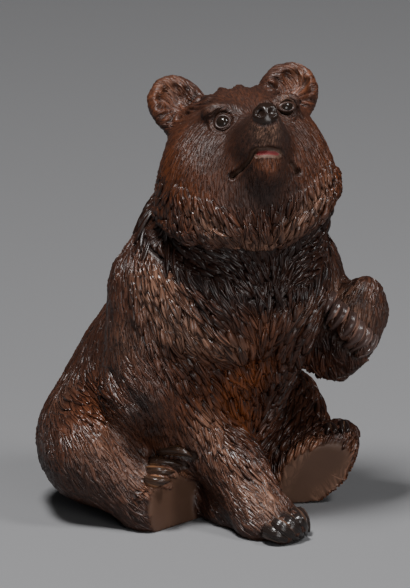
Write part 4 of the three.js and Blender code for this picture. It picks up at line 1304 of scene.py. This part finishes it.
def colourHead(points):
    local = inHead(points)
    back, share = behindRuff(local)
    front = local[:, 1] < -28
    nose = fromNose(local)
    inside, wave = inEar(local)
    lowerLip = farFromLine(local, np.array(redLine) + [0, 0.6, -1.9])
    # painted highlights, kept off the ruff's underside and the nose, with a faint one along the lower lip
    bright = toned(points, headTones["bright"]) * (1 - share * ramp(back, 0, 3))
    bright = np.maximum(bright, front * 0.1 * fade(lowerLip, 0.4, 1.0)) * ramp(nose, 1.2, 1.3)
    ends = (mouthLine[0], mouthLine[-1])
    corners = [fade(np.linalg.norm(local - end, axis=1), 1.5, 4) for end in ends]
    # painted shade under the ruff's edge, along the joint, in the mouth and its corners, on the cheeks and
    # chin, and in the grooves of the ears
    deep = np.maximum.reduce([
        share * ramp(back, -0.5, 3) * (0.9 - 0.35 * ramp(back, 12, 26)), besideJoint(points) * 1.3,
        front * fade(farFromLine(local, mouthLine), 0.8, 2.0), *corners, toned(local, headTones["deep"]),
        inside * 0.9 * ramp(-wave, -0.3, 0.7)])
    return {
        "warm": toned(local, headTones["warm"]), "bright": bright,
        "deep": deep * (1 - 0.8 * toned(points, keptLight)),
        "black": fade(nose, 0.95, 1.12) * 0.9,
        "red": front * fade(farFromLine(local, redLine), 1.0, 1.5),
    }


wood = stainedWood("stainedWood", woodLook)
coloured = [(body, colourBody), (tallBodyLocks, colourBody)]
coloured += [(piece, colourHead) for piece in (head, tallHeadLocks, necklineLocks, lids)]
for piece, colours in coloured:
    for name, values in colours(places(piece.data)).items():
        if name not in piece.data.attributes:
            giveAttribute(piece.data, name, values)
    piece.data.materials.append(wood)
for row, look in clawLooks.items():
    laid[row].data.materials.append(horn(row + "Horn", look))
eyeGlass = glassEye("blackGlass")
for each in beads:
    each.data.materials.append(eyeGlass)
print("finishes on")

studio = {
    "floor": (0.155, 0.155, 0.159), "floorSize": 8, "air": (0.6, 0.62, 0.65), "airStrength": 0.06,
    "lights": {  # azimuth, elevation, distance, size, power, and how high it aims
        "topLight": (-62, 70, 2.2, 0.5, 84, 0.12),
        "frontLight": (-12, 12, 2.6, 1.2, 30, 0.08),
        "rightLight": (30, 50, 2.2, 0.5, 26, 0.12),
    },
}
photo = {  # how it looks at the bear, its scale, and one of its pixels with the place on the floor there
    "azimuth": -32, "elevation": 15, "distance": 8.0, "size": (410, 588), "pixelsPerMm": 1.875,
    "pixel": (176, 497), "place": (-1.968, 27.39, 0), "nearer": 20, "sensor": 24,
}


def direction(azimuth, elevation):
    a, e = math.radians(azimuth), math.radians(elevation)
    return Vector((math.sin(a) * math.cos(e), -math.cos(a) * math.cos(e), math.sin(e)))


def backdrop():
    bpy.ops.object.select_all(action="DESELECT")
    bpy.ops.mesh.primitive_plane_add(size=studio["floorSize"], location=(0, 0, 0))
    floor = bpy.context.object
    floor.name = "floor"
    finish = Finish("palePaper")
    grain = finish.add("TexNoise", Vector=finish.add("TexCoord", out=3), Scale=300.0)
    light, dark = (*studio["floor"], 1), (*[value * 0.95 for value in studio["floor"]], 1)
    colour = finish.blend(grain * 0.1, light, dark)
    floor.data.materials.append(finish.surface(Base_Color=colour, Roughness=0.9))


def areaLight(name, azimuth, elevation, distance, size, power, height):
    lamp = bpy.data.lights.new(name, "AREA")
    lamp.shape, lamp.size, lamp.energy = "SQUARE", size, power
    thing = bpy.data.objects.new(name, lamp)
    bpy.context.scene.collection.objects.link(thing)
    aim = Vector((0, 0, height))
    thing.location = aim + distance * direction(azimuth, elevation)
    thing.rotation_euler = (aim - thing.location).to_track_quat("-Z", "Y").to_euler()


def photoCamera():  # a long lens from the bear's right, as in the photo
    back = direction(photo["azimuth"], photo["elevation"])
    right = direction(photo["azimuth"] + 90, 0)
    up = back.cross(right)
    width, height = photo["size"]
    x, y = photo["pixel"]
    middle = (right * (width / 2 - x) + up * (y - height / 2)) / photo["pixelsPerMm"] * mm
    middle += (Vector(photo["place"]) + back * photo["nearer"]) * mm
    lens = bpy.data.cameras.new("photoCamera")
    lens.sensor_fit = "VERTICAL"
    lens.sensor_height = photo["sensor"]
    lens.lens = photo["sensor"] * photo["distance"] / (height / photo["pixelsPerMm"] * mm)
    lens.clip_end = 40
    camera = bpy.data.objects.new("photoCamera", lens)
    bpy.context.scene.collection.objects.link(camera)
    camera.matrix_world = (Matrix.Translation(middle + back * photo["distance"])
                           @ Matrix((right, up, back)).transposed().to_4x4())
    bpy.context.scene.camera = camera


backdrop()
for name, values in studio["lights"].items():
    areaLight(name, *values)
world = bpy.data.worlds.new("studioAir")
world.use_nodes = True
world.node_tree.nodes["Background"].inputs["Color"].default_value = (*studio["air"], 1)
world.node_tree.nodes["Background"].inputs["Strength"].default_value = studio["airStrength"]
bpy.context.scene.world = world
photoCamera()
print("stage set")
